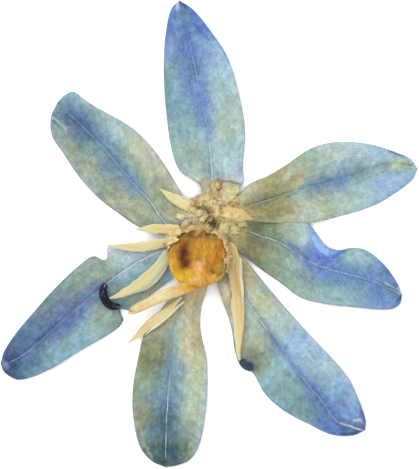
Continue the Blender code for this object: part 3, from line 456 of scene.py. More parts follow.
# Stains, here and below, are (x, y, reach in x, reach in y, colour, strength).
OVARY_STAINS = rows("""
    -2.47 -1.04 .3 .9 olive_gold .7, -2.4 -2.2 .35 .5 yellow .7, -.7 -1.04 .8 .8 mustard .8,
    -1.23 -1.82 .3 .5 amber .6, -1.65 -1.2 .5 .95 rust .75, -1.58 -1.35 .26 .7 plum 1,
    -1.52 -1.85 .24 .4 plum .8, -1.2 -1.6 .14 .3 dark .45, -1.75 -3.05 .35 .2 gold .6,
    -2.2 -1.75 .3 .6 mustard .4, -1.62 -2.73 .75 .38 yellow .95, -1.25 -3.1 .3 .15 peach_gold .4,
    -.9 -1.8 .2 .25 mustard .4, .25 -1.15 .16 .25 gold .55, -.26 -.4 .25 .25 amber .5,
    .85 -2.66 .25 .2 gold .6, -.58 0 1.3 .38 olive_brown .95, -1.23 .05 .22 .16 dark .8,
    -.2 0 .22 .16 dark .8, .26 -.39 .22 .22 brown .6, -.75 .02 .14 .12 flesh .7, .1 -.1 .12 .12 flesh .6,
    -.3 -.85 .08 .8 peach .55, -.26 -1.43 .3 .4 amber .5, .62 -.95 .3 .45 tangerine .4,
    .26 -1.5 .38 .42 tangerine .5, .3 -1.85 .3 .22 rust .7, -.13 -2.27 .42 .32 tangerine .7,
    -.2 -1.9 .2 .3 nub .5, .35 -2.1 .4 .35 mustard .7, .32 -3 .8 .28 gold .85, -.15 -2.9 .35 .3 gold .6,
    .26 -2.34 .14 .13 olive_brown .95, .72 -2.47 .16 .12 olive_brown .8, .45 -.85 .1 .13 olive_brown .7,
    .85 -2.08 .13 .2 olive .7, -.6 -2.02 .26 .34 peach_pink 1, -.74 -2.95 .3 .3 peach_pink 1,
    -.45 -2.5 .18 .26 peach_pink .4, -.6 -2.05 .16 .2 peach .9, -.3 -3.1 .3 .16 mustard .7,
    -.72 -1.6 .12 .2 nub .6, 0 -2.25 .22 .2 rust .5, .45 -1.45 .2 .28 rust .2, .72 -1 .16 .28 rust .5,
    1.04 -1.82 .2 .9 ochre .8, -.85 -3.38 .6 .1 rust .6""")
STYLE_LINE = rows("""-.3 -2.75 2.55, -1 -3.12 2.42, -1.75 -3.5 2.05, -2.6 -3.85 1.62, -3.6 -4.3 1.3,
    -5 -4.97 1.12""")
STYLE_RINGS = 120
STYLE_WIDTHS = (0.95, 0.74, 0.56)
STYLE_FLATNESS = 0.4
STYLE_PAINT = (rows("0 amber, .25 gold, .42 peach_gold, .58 pale_straw, .75 butter, .9 peach, 1 butter"),
               "peach", "butter")

# The colours of the flower's torn middle, by place alone, on every piece that reaches it. Most are stains.
# On the pink blob at (1, 2.25), the shell at (.95, 2.45) is a painted highlight and the mauve_brown at (1.1,
# 2) is painted shade.
# The char and dark spots lie over the heap's holes and darken them.
CENTRE_STAINS_AND_PAINTED_LIGHT = rows("""
    1.7 -.65 .35 .3 khaki_yellow .7, -.6 .14 .35 .14 olive_brown .5, -.2 3 .6 .67 sand .8,
    -.4 2.75 .3 .6 dove .7, .6 3.2 .22 .41 nub .95, .3 2.65 .3 .52 tan .8, 1 2.25 .45 .52 pink_beige .8,
    1.1 2 .37 .22 mauve_brown .55, 1.6 1.95 .3 .3 rusty .85, 1.55 2.75 .45 .45 lime_cream .75,
    1.9 1.25 1.3 .52 peach_gold .9, 1.05 .8 .45 .52 butter .9, 1.55 .25 .37 .37 lime_cream .8,
    2.85 1.3 .52 .45 ochre .6, 2.2 .05 .52 .45 khaki_yellow .7, 2.65 .5 .3 .3 dove .5,
    -.85 2.2 .67 .3 peach_gold .85, -1.6 1.95 .82 .37 butter .8, -.45 1.7 .34 .19 char .9,
    -.1 1.5 .19 .3 char .85, -.25 1.05 .45 .45 peach_gold .9, .3 .65 .37 .3 dark .95,
    .2 1.3 .22 .3 mauve_brown .5, -1.7 1.1 .67 .37 dove_light .85, -1.1 1.15 .22 .22 shell .7,
    -1.25 1 .22 .11 umber .5, -.85 .65 .22 .15 brown .7, -.25 .45 .45 .26 flesh .85,
    -1.55 .4 .52 .26 rusty .55, -.8 .25 .6 .19 rusty .6, .7 .2 .22 .6 shell .75, 1.1 -.2 .22 .22 brown .7,
    1.05 -.6 .37 .3 flesh .6, .45 1.8 .22 .37 shell .6, .8 1.6 .09 .3 nub .8, 1 1.05 .22 .11 nub .7,
    1.1 -1.05 .3 .37 butter .5, -.65 1.5 .15 .37 umber .35, .1 2.2 .35 .35 butter .7,
    1.9 2.2 .42 .4 butter .8, 2.25 1.8 .4 .25 ochre .5, 1.55 2.9 .35 .3 lime_cream .8, 0 .25 .5 .2 nub .6,
    -.9 .95 .5 .25 shell .5, .7 1.3 .35 .25 peach .7, .95 2.45 .35 .3 shell .7, .9 .55 .35 .3 butter .7,
    -1.1 .9 .35 .25 dove_light .6""")
CENTRE_MIDDLE = np.array([0.5, 1.3])
CENTRE_REACH = (1.9, 3.0)  # these colours hold up to the first radius and are gone at the second

# The torn claws run together into one sheet: its outline round the middle, as (degrees, radius).
HEAP_MIDDLE = np.array([0.3, 1.3])
HEAP_SPOKES, HEAP_HOOPS = 210, 76
HEAP_OUTLINE = rows("""0 2.4, 8 2.3, 22 1.8, 38 1.9, 52 2.25, 72 2.1, 90 2.1, 111 2.2, 122 1.45, 142 1.7,
    160 2.1, 180 2.15, 198 2.2, 210 2.3, 222 1.6, 270 1, 288 1.6, 298 2.1, 312 1.8, 330 1.8, 345 1.9""")
# It is raised over the filaments' bases: (reach, height, then x and y of each point of a line).
HEAP_RIDGES = rows(""".4 1.58 -.6 1.5 -1.1 1.75, .42 1.47 .7 1.35 1.5 1.3 2.3 1.1,
    .34 1.52 -1.5 .3 -2 .3""")
# Its holes: (x, y, reach in x, reach in y, depth).
HEAP_HOLES = rows("""-.45 1.7 .34 .17 .2, -.1 1.5 .17 .28 .2, .3 .65 .34 .26 .24, .12 2.1 .1 .3 .1,
    -.9 1.3 .1 .2 .12, .75 1.55 .1 .3 .12""")
# Pleated membranes lying on it: (x, y, half length, half width, heading, height over the claws).
MEMBRANES = rows("""1.1 2.25 .55 .42 50 .12, .98 .45 .55 .3 84 .16, 1.65 .25 .34 .3 30 .1,
    -.35 1.1 .42 .26 60 .16, -1.6 1.1 .55 .22 170 .06, -2.22 .15 .5 .3 5 .24, -2.48 -.42 .5 .26 22 .26,
    -2.6 -.05 .35 .26 80 .2, 1.6 2.75 .36 .3 40 .06, .95 -.3 .6 .16 100 .1, 1.5 1.45 .55 .42 5 .38,
    1.9 .95 .45 .22 165 .3, 2.2 .72 .4 .24 175 .12""")
# Curled slivers: the same, but narrow and rolled up at the sides.
SLIVERS = rows(""".6 3.12 .36 .18 96 .14, .3 2.6 .42 .15 80 .14, -.72 1.5 .36 .09 128 .2,
    -.5 1.3 .36 .09 122 .22, .15 .95 .26 .1 40 .22, 1.55 1.95 .26 .16 70 .14, .5 1.5 .3 .08 60 .2""")
SLIVER_CURL = 0.8
MEMBRANE_STEPS, SLIVER_STEPS, FLAKE_STEPS = 38, 30, 15
MEMBRANE_CRUMPLE, SLIVER_CRUMPLE, FLAKE_CRUMPLE = 0.05, 0.04, 0.03
MEMBRANE_THICK = 0.05
DRAPE_RISE = 0.06
TISSUE_TOP = 2.86
# Small flakes are scattered over these ellipses: (x, y, half x, half y, how many).
FLAKE_FIELDS = rows(".1 1.3 1 .6 14, 1 2.2 .7 .6 8, 1.05 0 .3 1 8")
# A flake's size is drawn by lot from spans: its half length, slimness, height and curl.
FLAKE_SPANS = ((0.12, 0.3), (0.25, 0.5), (0.1, 0.2), (-0.3, 0.5))
FIBRES = 40
FIBRE_RINGS, FIBRE_SIDES, FIBRE_HALF = 16, 8, 0.02
# The crust along the ovary's upper rim: the arc in degrees, how far out from its middle, its width.
CRUST_ARC = (-28, 168)
CRUST_OUT = 0.98
CRUST_WIDTH = 0.2
CRUST_STEPS, CRUST_COLUMNS = 200, 24
CRUST_CRUMBS = 26
CRUMB_SPANS = ((0.12, 0.24), (0.5, 0.9), (0.02, 0.08), (-0.4, 0.4))
CRUMB_STRAY = 0.06

# The turned receptacle's profile from the scar's middle outwards and up: radius and height.
RECEPTACLE_PROFILE = rows(".02 0, .55 0, 1.25 .3, 1.25 .5, .72 .5, .72 1.25, .02 1.25")

RECEPTACLE_RINGS, RECEPTACLE_SIDES, RECEPTACLE_ROUGH = 61, 90, 0.03

PETAL_SPECULAR, FLESH_SPECULAR = 0.2, 0.16
FLOOR_SIZE = 1.2  # in metres
FLOOR_DROP = 0.01
CAMERA_HEIGHT = 102.1
CAMERA_LENS = 120.0
CAMERA_PLACE = (0.033, -0.033)
SKY_STRENGTH = 1.29
SUN_ENERGY = 1.53


def smoothstep(value):
    value = np.clip(value, 0.0, 1.0)
    return value * value * (3.0 - 2.0 * value)


def ease(value, start, end):
    """0 up to start, 1 from end, and smooth between."""
    return smoothstep((value - start) / (end - start))


def bump(place, middle, reach):
    """1 at the middle of a stretch, easing to 0 at its ends."""
    return smoothstep(1.0 - np.abs(place - middle) / reach)


def above(value):
    """The value where it is over 0, and elsewhere 0."""
    return np.maximum(0.0, value)


def bell(value):
    """1 at 0, and falling away on both sides."""
    return np.exp(-(value**2))


def lattice(x, y, seed):
    """Repeatable random numbers from -1 to 1 at whole-number places."""
    mixed = (x * 374761393 + y * 668265263 + seed * 974634777) & 0xFFFFFFFF
    mixed = ((mixed ^ (mixed >> 13)) * 1274126177) & 0xFFFFFFFF
    return (mixed ^ (mixed >> 16)) / 0x7FFFFFFF - 1.0


def value_noise(x, y, seed):
    left, low = np.floor(x), np.floor(y)
    u, v = smoothstep(x - left), smoothstep(y - low)
    left, low = left.astype(np.int64), low.astype(np.int64)
    near = lattice(left, low, seed) * (1.0 - u) + lattice(left + 1, low, seed) * u
    far = lattice(left, low + 1, seed) * (1.0 - u) + lattice(left + 1, low + 1, seed) * u
    return near * (1.0 - v) + far * v


def fractal(x, y, seed, octaves=3):
    """Soft noise from about -1 to 1, each octave turned so that no grid shows."""
    x, y = np.broadcast_arrays(np.asarray(x, float), np.asarray(y, float))
    total, size = np.zeros(x.shape), 1.0
    for octave in range(octaves):
        x, y = 0.8 * x - 0.6 * y, 0.6 * x + 0.8 * y
        total += size * value_noise(x, y, seed + 17 * octave)
        x, y, size = 2.0 * x, 2.0 * y, size / 2
    return total


def stacked(*fields):
    """Fields as the last axis of one array, each spread over the grid that they share."""
    return np.stack(np.broadcast_arrays(*fields), axis=-1)


def patches(x, y, size, seed, octaves=3):
    """Soft noise with features of about the given size."""
    return fractal(x / size, y / size, seed, octaves)


def linear(colour):
    """A screen colour as the surface's own linear one."""
    return TINT_SHARE * np.where(colour > 0.04045, ((colour + 0.055) / 1.055) ** 2.4, colour / 12.92)


def plain(colour, points):
    """One colour for every point."""
    return np.broadcast_to(PALETTE[colour], points.shape)


def tinted(paint, *layers):
    """The paint with colours laid over it in turn, each at its own weight at each place."""
    for colour, weight in layers:
        colour = PALETTE[colour] if isinstance(colour, str) else colour
        paint = paint + (colour - paint) * np.clip(weight, 0.0, 1.0)[..., None]
    return paint


def between(place, stops, value=1):
    """The stops' numbers or colours, read between them at each place."""
    places, values = [stop[0] for stop in stops], [stop[value] for stop in stops]
    if isinstance(values[0], str):
        channels = zip(*[PALETTE[colour] for colour in values])
        return stacked(*[np.interp(place, places, channel) for channel in channels])
    return np.interp(place, places, values)


def smooth_line(points, shares):
    """Points at shares of the length of a smooth curve through the given ones."""
    knots = np.array(points, float)
    ahead = np.vstack([2 * knots[0] - knots[1], knots, 2 * knots[-1] - knots[-2]])
    dense = [knots[:1]]
    step = np.linspace(0.0, 1.0, CURVE_STEPS + 1)[1:, None]
    for before, start, end, after in zip(ahead, ahead[1:], ahead[2:], ahead[3:]):
        span = np.linalg.norm(end - start) / 3
        leave = start + (end - before) / np.linalg.norm(end - before) * span
        arrive = end - (after - start) / np.linalg.norm(after - start) * span
        back = 1.0 - step
        dense.append(back**3 * start + 3 * back**2 * step * leave
                     + 3 * back * step**2 * arrive + step**3 * end)
    dense = np.vstack(dense)
    lengths = np.concatenate([[0.0], np.cumsum(np.linalg.norm(np.diff(dense, axis=0), axis=1))])
    wanted = np.asarray(shares) * lengths[-1]
    return np.column_stack([np.interp(wanted, lengths, axis) for axis in dense.T])


def line_length(line):
    return np.linalg.norm(np.diff(line, axis=0), axis=1).sum()


def line_distance(x, y, points):
    """Distance in plan to a line of straight pieces."""
    best = np.full(x.shape, np.inf)
    for (from_x, from_y), (to_x, to_y) in zip(points, points[1:]):
        step_x, step_y = to_x - from_x, to_y - from_y
        share = ((x - from_x) * step_x + (y - from_y) * step_y) / (step_x**2 + step_y**2)
        share = np.clip(share, 0.0, 1.0)
        best = np.minimum(best, np.hypot(x - from_x - share * step_x, y - from_y - share * step_y))
    return best


def claw_lift(x, y):
    """Height of a tepal's underside over the floor, where its claw climbs onto the receptacle."""
    radius = np.hypot(x - CENTRE[0], y - CENTRE[1])
    return CLAW_LIFT * (1.0 - ease(radius, CLAW_FLAT_RADIUS, CLAW_FOOT_RADIUS))


class Piece:
    """Collects closed shells with their colours, and makes one object of them."""

    def __init__(self, name):
        self.name = name
        self.shells = []

    def add(self, points, faces, tint, place, rib=None):
        points = points.reshape(-1, 3)
        rib = np.zeros((len(points), 4)) if rib is None else rib.reshape(-1, 4)
        self.shells.append((points, faces, tint.reshape(-1, 3), place.reshape(-1, 3), rib))

    def add_sheet(self, middle, thickness, tint, place, rib=None):
        """Adds a thin closed sheet about a grid of middle points."""
        half = np.zeros(middle.shape)
        half[..., 2] = thickness / 2
        below = tinted(tint, ("mist", UNDERSIDE_PALER))
        both = None if rib is None else np.stack([rib, rib * [1, 1, 1, 0.4]])
        self.add(np.stack([middle + half, middle - half]), sheet_faces(*middle.shape[:2]),
                 np.stack([tint, below]), np.stack([place, place]), both)

    def add_tube(self, rings, tint, place):
        """Adds a closed tube of rings."""
        self.add(rings, tube_faces(*rings.shape[:2]), tint, place)

    def make(self, finish, node):
        points, faces, tint, place, rib = zip(*self.shells)
        starts = np.cumsum([0] + [len(shell) for shell in points])
        corners = []
        for grids, start in zip(faces, starts):
            corners += [corner for grid in grids for corner in (grid + start).tolist()]
        mesh = bpy.data.meshes.new(self.name)
        mesh.from_pydata((np.vstack(points) * MM).tolist(), [], corners)
        mesh.validate()
        mesh.shade_smooth()
        tint = linear(np.clip(np.vstack(tint), 0.0, 1.0))
        self.store(mesh, "tint", "FLOAT_COLOR", "color", np.column_stack([tint, np.ones(len(tint))]))
        self.store(mesh, "place", "FLOAT_VECTOR", "vector", np.vstack(place))
        self.store(mesh, "rib", "FLOAT_COLOR", "color", np.vstack(rib))
        mesh.materials.append(finish)
        obj = bpy.data.objects.new(self.name, mesh)
        bpy.context.scene.collection.objects.link(obj)
        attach(obj, "root")
        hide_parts(node)

    @staticmethod
    def store(mesh, name, kind, field, values):
        attribute = mesh.attributes.new(name, kind, "POINT")
        attribute.data.foreach_set(field, values.astype(np.float32).ravel())


def sheet_faces(steps, columns):
    """Faces of a closed sheet: its upper grid, its lower grid, and the rim between them."""
    index = np.arange(steps * columns).reshape(steps, columns)
    upper = np.stack([index[:-1, :-1], index[:-1, 1:], index[1:, 1:], index[1:, :-1]], axis=-1)
    upper = upper.reshape(-1, 4)
    rim = np.concatenate([index[0, :-1], index[:-1, -1], index[-1, :0:-1], index[:0:-1, 0]])
    ahead = np.roll(rim, -1)
    edge = np.stack([ahead, rim, rim + index.size, ahead + index.size], axis=-1)
    return [upper, upper[:, ::-1] + index.size, edge]


def tube_faces(rings, sides):
    """Faces of a closed tube of rings, with flat ends."""
    index = np.arange(rings * sides).reshape(rings, sides)
    ahead = np.roll(index, -1, axis=1)
    side = np.stack([index[:-1], ahead[:-1], ahead[1:], index[1:]], axis=-1).reshape(-1, 4)
    return [side, index[:1, ::-1], index[-1:]]


def around(sides):
    """Angles once round a tube."""
    return np.linspace(0.0, 2.0 * math.pi, sides, endpoint=False)[None, :]


def line_frame(line):
    """Unit vectors along a line, to its right in plan, and upwards from both."""
    ahead = np.gradient(line, axis=0)
    ahead /= np.linalg.norm(ahead, axis=1)[:, None]
    right = np.column_stack([ahead[:, 1], -ahead[:, 0], np.zeros(len(line))])
    right /= np.linalg.norm(right, axis=1)[:, None]
    return ahead, right, np.cross(right, ahead)


def tube_points(line, half_width, half_height):
    """Rings of a tube round a line: half_width and half_height are by ring and side."""
    angle = around(half_width.shape[1])[..., None]
    _, right, up = line_frame(line)
    return (line[:, None] + right[:, None] * np.cos(angle) * half_width[..., None]
            + up[:, None] * np.sin(angle) * half_height[..., None])


def width_along(share, widths):
    base, middle, tip = widths
    return base + (middle - base) * ease(share, 0.0, 0.5) + (tip - middle) * ease(share, 0.5, 1.0)


def rounded(inset):
    """Share of its width that a tube has near a round end: 1 where the inset is 1."""
    return np.sqrt(np.clip(1.0 - (1.0 - np.clip(inset, 0.0, 1.0)) ** 2, 0.03, 1.0))


def pointed_width(share, length, widths, point):
    """Width along a tube: round at its base and drawn out to a point over the given share."""
    width = width_along(share, widths) * rounded(share * length / (widths[0] / 2))
    return width * (1.0 - 0.85 * np.clip((share - 1.0 + point) / point, 0.0, 1.0) ** 2)


def spotted(paint, x, y, grain, spots):
    """Soft spots, each (x, y, reach in x, reach in y, colour, strength)."""
    for spot_x, spot_y, reach_x, reach_y, colour, strength in spots:
        away = ((x - spot_x) / reach_x) ** 2 + ((y - spot_y) / reach_y) ** 2
        paint = tinted(paint, (colour, strength * grain * np.exp(-0.8 * away)))
    return paint


def stained(paint, x, y, stains, stray, seed):
    """Soft spots of colour at places in plan, with edges that stray by the given distance: stains, and in
    the torn middle also some painted light and shade.
    """
    warp_x, warp_y = (axis + stray * patches(x, y, 0.4, seed + turn) for turn, axis in ((1, x), (2, y)))
    return spotted(paint, warp_x, warp_y, 1.0 + 0.3 * patches(x, y, 0.2, seed + 3, 2), stains)


def centre_paint(paint, x, y, amount=1.0):
    """The torn middle's colours laid over a piece's own, where it reaches the middle."""
    radius = np.hypot(x - CENTRE_MIDDLE[0], y - CENTRE_MIDDLE[1])
    dressed = stained(paint, x, y, CENTRE_STAINS_AND_PAINTED_LIGHT, 0.1, 6600)
    return tinted(paint, (dressed, amount * (1.0 - ease(radius, *CENTRE_REACH))))


def tepal_places(shape):
    """The grid of a tepal in plan, with what its height and colour depend on."""
    share = np.linspace(0.0, SHEET_END, SHEET_ROWS)
    side = np.linspace(-1.0, 1.0, SHEET_COLUMNS)[None, :]
    side = np.sign(side) * np.abs(side) ** SHEET_GATHER
    midrib, left, right = (smooth_line(line, share) for line in (shape.midrib, shape.left, shape.right))
    margin = np.where(side[..., None] < 0, left[:, None], right[:, None])
    offset = (margin - midrib[:, None]) * np.abs(side)[..., None]
    plan = midrib[:, None] + offset
    tangent = np.gradient(midrib, axis=0)
    tangent /= np.linalg.norm(tangent, axis=1)[:, None]
    across = offset[..., 0] * tangent[:, 1:] - offset[..., 1] * tangent[:, :1]
    edge = np.where(side < 0, -across[:, :1], across[:, -1:]) * (1.0 - np.abs(side))
    share, length = share[:, None] + 0 * side, line_length(midrib)
    left, right = (np.linalg.norm(line - midrib, axis=1)[:, None] for line in (left, right))
    return SimpleNamespace(
        x=plan[..., 0], y=plan[..., 1], share=share, side=side + 0 * share, along=share * length,
        across=across, edge=np.minimum(np.abs(edge), (1.0 - share) * length + 0.02), length=length,
        left=left, right=right,
    )


def tepal_seat(name, shape, at):
    """Height of the underside of the tepal's solid."""
    height = claw_lift(at.x, at.y) + shape.dish * ease(at.share, *BLADE_OPENS) * at.side**2
    height = height + shape.tip * ease(at.share, TIP_CURLS, 1.0)
    for side, middle, reach, lift in shape.lifts:
        height = height + lift * bump(at.share, middle, reach) * above(at.side * side) ** 2
    if name == OVERLAP_TEPAL:
        reach = 1.0 - ease(at.share, OVERLAP_END, OVERLAP_END + OVERLAP_FADE)
        height = np.maximum(height, OVERLAP_LIFT * reach * ease(at.side, *OVERLAP_ACROSS))
    return height


def tepal_relief(at, seed):
    """Waves, crown, frill, wrinkles and midrib groove of the papery sheet, whose margins droop."""
    outer = np.abs(at.side)
    blade = WAVE * patches(at.x, at.y, 2.6, seed, 2) + CROWN * np.sin(math.pi * outer)
    blade = blade - MARGIN_DROOP * outer**3
    blade = blade + FRILL * outer**4 * fractal(at.along / 1.3, at.side * 0.8, seed + 7, 2)
    pleats = PLEAT * fractal(at.side * 7.0, at.along / 2.5, seed + 5, 2)
    wrinkles = WRINKLE * patches(at.x, at.y, 0.75, seed + 6)
    return blade * ease(at.share, 0.08, 0.3) + pleats + wrinkles - GROOVE * bell(at.across / 0.15)


def blotted(paint, at, blots, seed):
    """Soft blots with uneven edges, placed by share of the length and of the half width."""
    along = at.along + 0.25 * patches(at.x, at.y, 0.8, seed + 1)
    across = at.side * np.where(at.side < 0, at.left, at.right) + 0.25 * patches(at.x, at.y, 0.8, seed + 2)
    spots = [(share * at.length, side * (at.left if side < 0 else at.right), *rest)
             for share, side, *rest in blots]
    return spotted(paint, along, across, 1.0 + 0.3 * patches(at.x, at.y, 0.3, seed + 3, 2), spots)


def crease_weight(at, points, width):
    """How near each place is to a crease, whose sides are uneven."""
    away = line_distance(at.x, at.y, points) + 0.25 * width * patches(at.x, at.y, 0.15, 77, 2)
    return bell(away / width)


def striped(paint, at, stops, seed):
    """The dark band over the midrib: streaks along it, and ragged sides."""
    left, right, strength = (between(at.share, stops, value) for value in (1, 2, 4))
    ragged = at.across + 0.09 * patches(at.x, at.y, 0.7, seed + 11)
    ragged += 0.04 * patches(at.x, at.y, 0.2, seed + 12)
    streaks = fractal(at.across / 0.12, at.along / 1.1, seed + 13, 2)
    weight = strength * np.exp(-0.7 * (ragged / np.maximum(np.where(at.across < 0, left, right), 0.03)) ** 2)
    paint = tinted(paint, (between(at.share, stops, 3), weight * (0.95 + 0.25 * streaks)))
    return paint * (1.0 + 0.07 * weight * streaks)[..., None]


def mottled(paint, at, seed):
    """Lightness and hue wander at three sizes, and in slanting wrinkles from the midrib outwards."""
    for number, (size, amounts) in enumerate(MOTTLES):
        for turn, (step, amount) in enumerate(zip((LIGHTER, BLUER, GREENER), amounts)):
            field = patches(at.x, at.y, size, seed + 20 + 30 * number + 7 * turn, 2)
            paint = paint + amount * field[..., None] * step
    crepe = fractal((at.along - 0.9 * np.abs(at.across)) / 0.16, at.across / 0.6, seed + 150, 2)
    veins = fractal(at.side * 11.0, at.along / 1.8, seed + 160, 2)
    paint = paint * (1.0 + 0.035 * crepe + 0.03 * veins)[..., None]
    return tinted(paint, ("slate", 0.2 * bell(at.edge / 0.07)))


def tepal_colour(at, shape, seed):
    """The tepal's paint: washes, blots, rims, the midrib's stripe, creases and mottles."""
    x, y = at.x, at.y
    place = at.share + 0.035 * patches(x, y, 1.2, seed) + 0.01 * patches(x, y, 0.3, seed + 8)
    halves = smoothstep(0.5 + (at.side + 0.12 * patches(x, y, 0.7, seed + 9)) / 0.8)
    paint = tinted(between(place, shape.left_wash), (between(place, shape.right_wash), halves))
    paint = blotted(paint, at, shape.blots, seed)
    ragged = 1.0 + 0.4 * patches(x, y, 0.4, seed + 14)
    for side, start, end, width, colour, strength in shape.rims:
        reach = ease(at.share, start - 0.04, start + 0.06) * (1.0 - ease(at.share, end - 0.06, end + 0.04))
        near = bell(at.edge / width) * (at.side * side > 0)
        paint = tinted(paint, (colour, strength * reach * near * ragged))
    paint = striped(paint, at, shape.stripe, seed)
    for width, colour, strength, _, *line in shape.creases:
        paint = tinted(paint, (colour, strength * crease_weight(at, pairs(line), width)))
    return mottled(centre_paint(paint, x, y), at, seed)


def tepal_rib(at, stops, seed):
    """Colour and strength of the fine line along the midrib."""
    broken = 0.75 + 0.6 * fractal(at.along / 0.3, 0.0 * at.share, seed + 70)
    strength = between(at.share, stops, 2) * np.clip(broken, 0.15, 1.0)
    return np.concatenate([linear(between(at.share, stops)), strength[..., None]], axis=-1)


def add_flap(piece, at, height, seed):
    """The folded-over margin, on the blade that it lies on."""
    along, over = np.linspace(0.0, 1.0, FLAP_ROWS), np.linspace(0.0, 1.0, FLAP_COLUMNS)[None, :]
    outer, inner = smooth_line(FLAP.outer, along)[:, None], smooth_line(FLAP.inner, along)[:, None]
    x, y = np.moveaxis(outer + (inner - outer) * over[..., None], -1, 0)
    part = slice(*(int(share * SHEET_ROWS) for share in FLAP_REACH))
    grid_x, grid_y, heights = (field[part].ravel() for field in (at.x, at.y, height))
    away = (x.ravel()[:, None] - grid_x) ** 2 + (y.ravel()[:, None] - grid_y) ** 2
    lift = heights[np.argmin(away, axis=1)].reshape(x.shape)
    lift = lift + FLAP_RISE * (0.3 + 1.2 * np.sin(math.pi * over)) + 0.02 * patches(x, y, 0.4, seed)
    place = over + 0.12 * patches(x, y, 0.4, seed + 1)
    paint = tinted(between(place, FLAP.near), (between(place, FLAP.far), ease(along[:, None], 0.45, 0.8)))
    for size in (0.4, 0.13):
        paint = paint + 0.05 * patches(x, y, size, seed + 2, 2)[..., None] * LIGHTER
    points = stacked(x, y, lift)
    piece.add_sheet(points, FLAP_THICK, paint, points)


def make_tepal(name, shape, finish, seed):
    at = tepal_places(shape)
    height = tepal_seat(name, shape, at) + SHEET_SEAT + tepal_relief(at, seed)
    for width, _, _, lift, *line in shape.creases:
        height = height + lift * crease_weight(at, pairs(line), width)
    if name == FLAP_TEPAL:
        middle, reach, lift = UNDERLAP
        height = height + lift * bump(at.share, middle, reach) * above(-at.side) ** 3
    thick, thin = SHEET_THICK
    thickness = thin + (thick - thin) * np.exp(-2.0 * np.abs(at.side))
    height = np.maximum(height, FLOOR_CLEAR + thickness / 2)
    place = stacked(at.across, at.along, at.side * 3.0)
    paint, rib = tepal_colour(at, shape, seed), tepal_rib(at, shape.rib, seed)
    piece = Piece(name + "_sheet")
    piece.add_sheet(stacked(at.x, at.y, height), thickness, paint, place, rib)
    if name == FLAP_TEPAL:
        add_flap(piece, at, height, seed)
    piece.make(finish, name)


def filament_height(name, line):
    """Height of a filament's middle line, one layer above the tepals."""
    height = claw_lift(*line.T) + SOLID_THICK + LAYER_GAP + FILAMENT_HALF
    if name == "filament_h":
        height = np.full(len(line), STUB_HEIGHT)
    if name == "filament_f":
        height = height - DROOP_DEPTH * ease((DROOP_FROM - line) @ DROOP_HEADING, 0.0, DROOP_LENGTH)
    return height - FILAMENT_SINK


def fleshy_tint(share, angle, line, looks, seed):
    """Paint of a flattened strap: colours along it, fine fibres, and the colours of its sides."""
    stops, left, right = looks
    across, along = np.cos(angle), share * line_length(line)
    fibres = fractal(across * 5.0, along / 1.6, seed)
    blots = fractal(across * 1.2 + 5.0, along / 0.8, seed + 4)
    paint = tinted(
        between(share + 0 * angle, stops), ("apricot", 0.3 * above(blots) * (1.0 - across**2)),
        (left, 0.9 * above(-across) ** 2), (right, 0.9 * above(across) ** 2),
        ("pale_straw", 0.5 * above(fibres) + 0.2 * above(-blots)), ("ochre", 0.16 * above(-fibres - 0.2)),
    )
    x, y = line.T[:2, :, None] + 0 * angle
    return centre_paint(paint, x, y, STRAP_CENTRE_SHARE)


def add_strap(piece, line, widths, flatness, looks, seed):
    """A flattened strap with faint ridges along it, drawn out to a point."""
    share, angle = np.linspace(0.0, 1.0, len(line))[:, None], around(TUBE_SIDES)
    length, across = line_length(line), np.cos(angle)
    width = pointed_width(share, length, widths, STRAP_POINT)
    ragged = 1.0 + 0.15 * fractal(share * length / 0.6, np.sign(across), seed + 2, 4)
    ridges = 1.0 + 0.04 * np.cos(9.0 * across + 3.0 * share + seed)
    ridges += 0.12 * fractal(across * 1.6, share * length / 0.8, seed)
    thick = np.maximum(width * flatness, np.minimum(width, STRAP_LEAST))
    rings = tube_points(line, width / 2 * ragged, thick / 2 * ridges)
    place = stacked(across * width / 2, share * length, 0.0)
    piece.add_tube(rings, fleshy_tint(share, angle, line, looks, seed), place)


def make_filament(name, points, widths, looks, strips, finish, seed):
    plan = smooth_line(points, np.linspace(0.0, 1.0, STRAP_RINGS))
    piece = Piece(name + "_strap")
    line = np.column_stack([plan, filament_height(name, plan)])
    add_strap(piece, line, widths, FILAMENT_FLATNESS, looks, seed)
    for strip_points, strip_widths, height, inner, outer in strips:
        plan = smooth_line(strip_points, np.linspace(0.0, 1.0, STRIP_RINGS))
        lift = np.maximum(height, claw_lift(*plan.T) + height - 0.05)
        strip_looks = ([(0.0, "pale_straw"), (0.3, inner), (1.0, inner)], outer, outer)
        add_strap(piece, np.column_stack([plan, lift]), strip_widths, STRIP_FLATNESS, strip_looks, seed + 5)
    piece.make(finish, name)


def make_anther(name, points, widths, colour, finish, seed):
    """An anther has two pollen lobes along it, with a groove between them; its paint has a painted sheen on
    the lobes' bumps and a painted highlight in patches along the groove.
    """
    share, angle = np.linspace(0.0, 1.0, ANTHER_RINGS)[:, None], around(TUBE_SIDES)
    plan = smooth_line(points, share[:, 0])
    along = share * line_length(plan)
    width = pointed_width(share, line_length(plan), widths, ANTHER_POINT)
    groove = bell(np.cos(angle) / 0.3)
    lumps = 0.09 * fractal(angle * 1.5, along / 0.3, seed)
    size = width / 2 * (1.0 + lumps)
    line = np.column_stack([plan, np.full(len(plan), ANTHER_HEIGHT)])
    rings = tube_points(line, size, size * (1.0 - 0.35 * groove))
    # Painted sheen: ink_sheen on the lobes' bumps. Painted highlight: lavender in patches along the grooves.
    paint = tinted(
        plain(colour, rings), ("ink_sheen", 0.5 * above(lumps * 12.0 - 0.1)),
        ("lavender", 0.5 * groove * above(np.sin(angle) * lumps * 16.0)),
    )
    place = stacked(angle * 0.4, along, 0.0)
    piece = Piece(name + "_lobes")
    piece.add_tube(rings, paint, place)
    piece.make(finish, name)


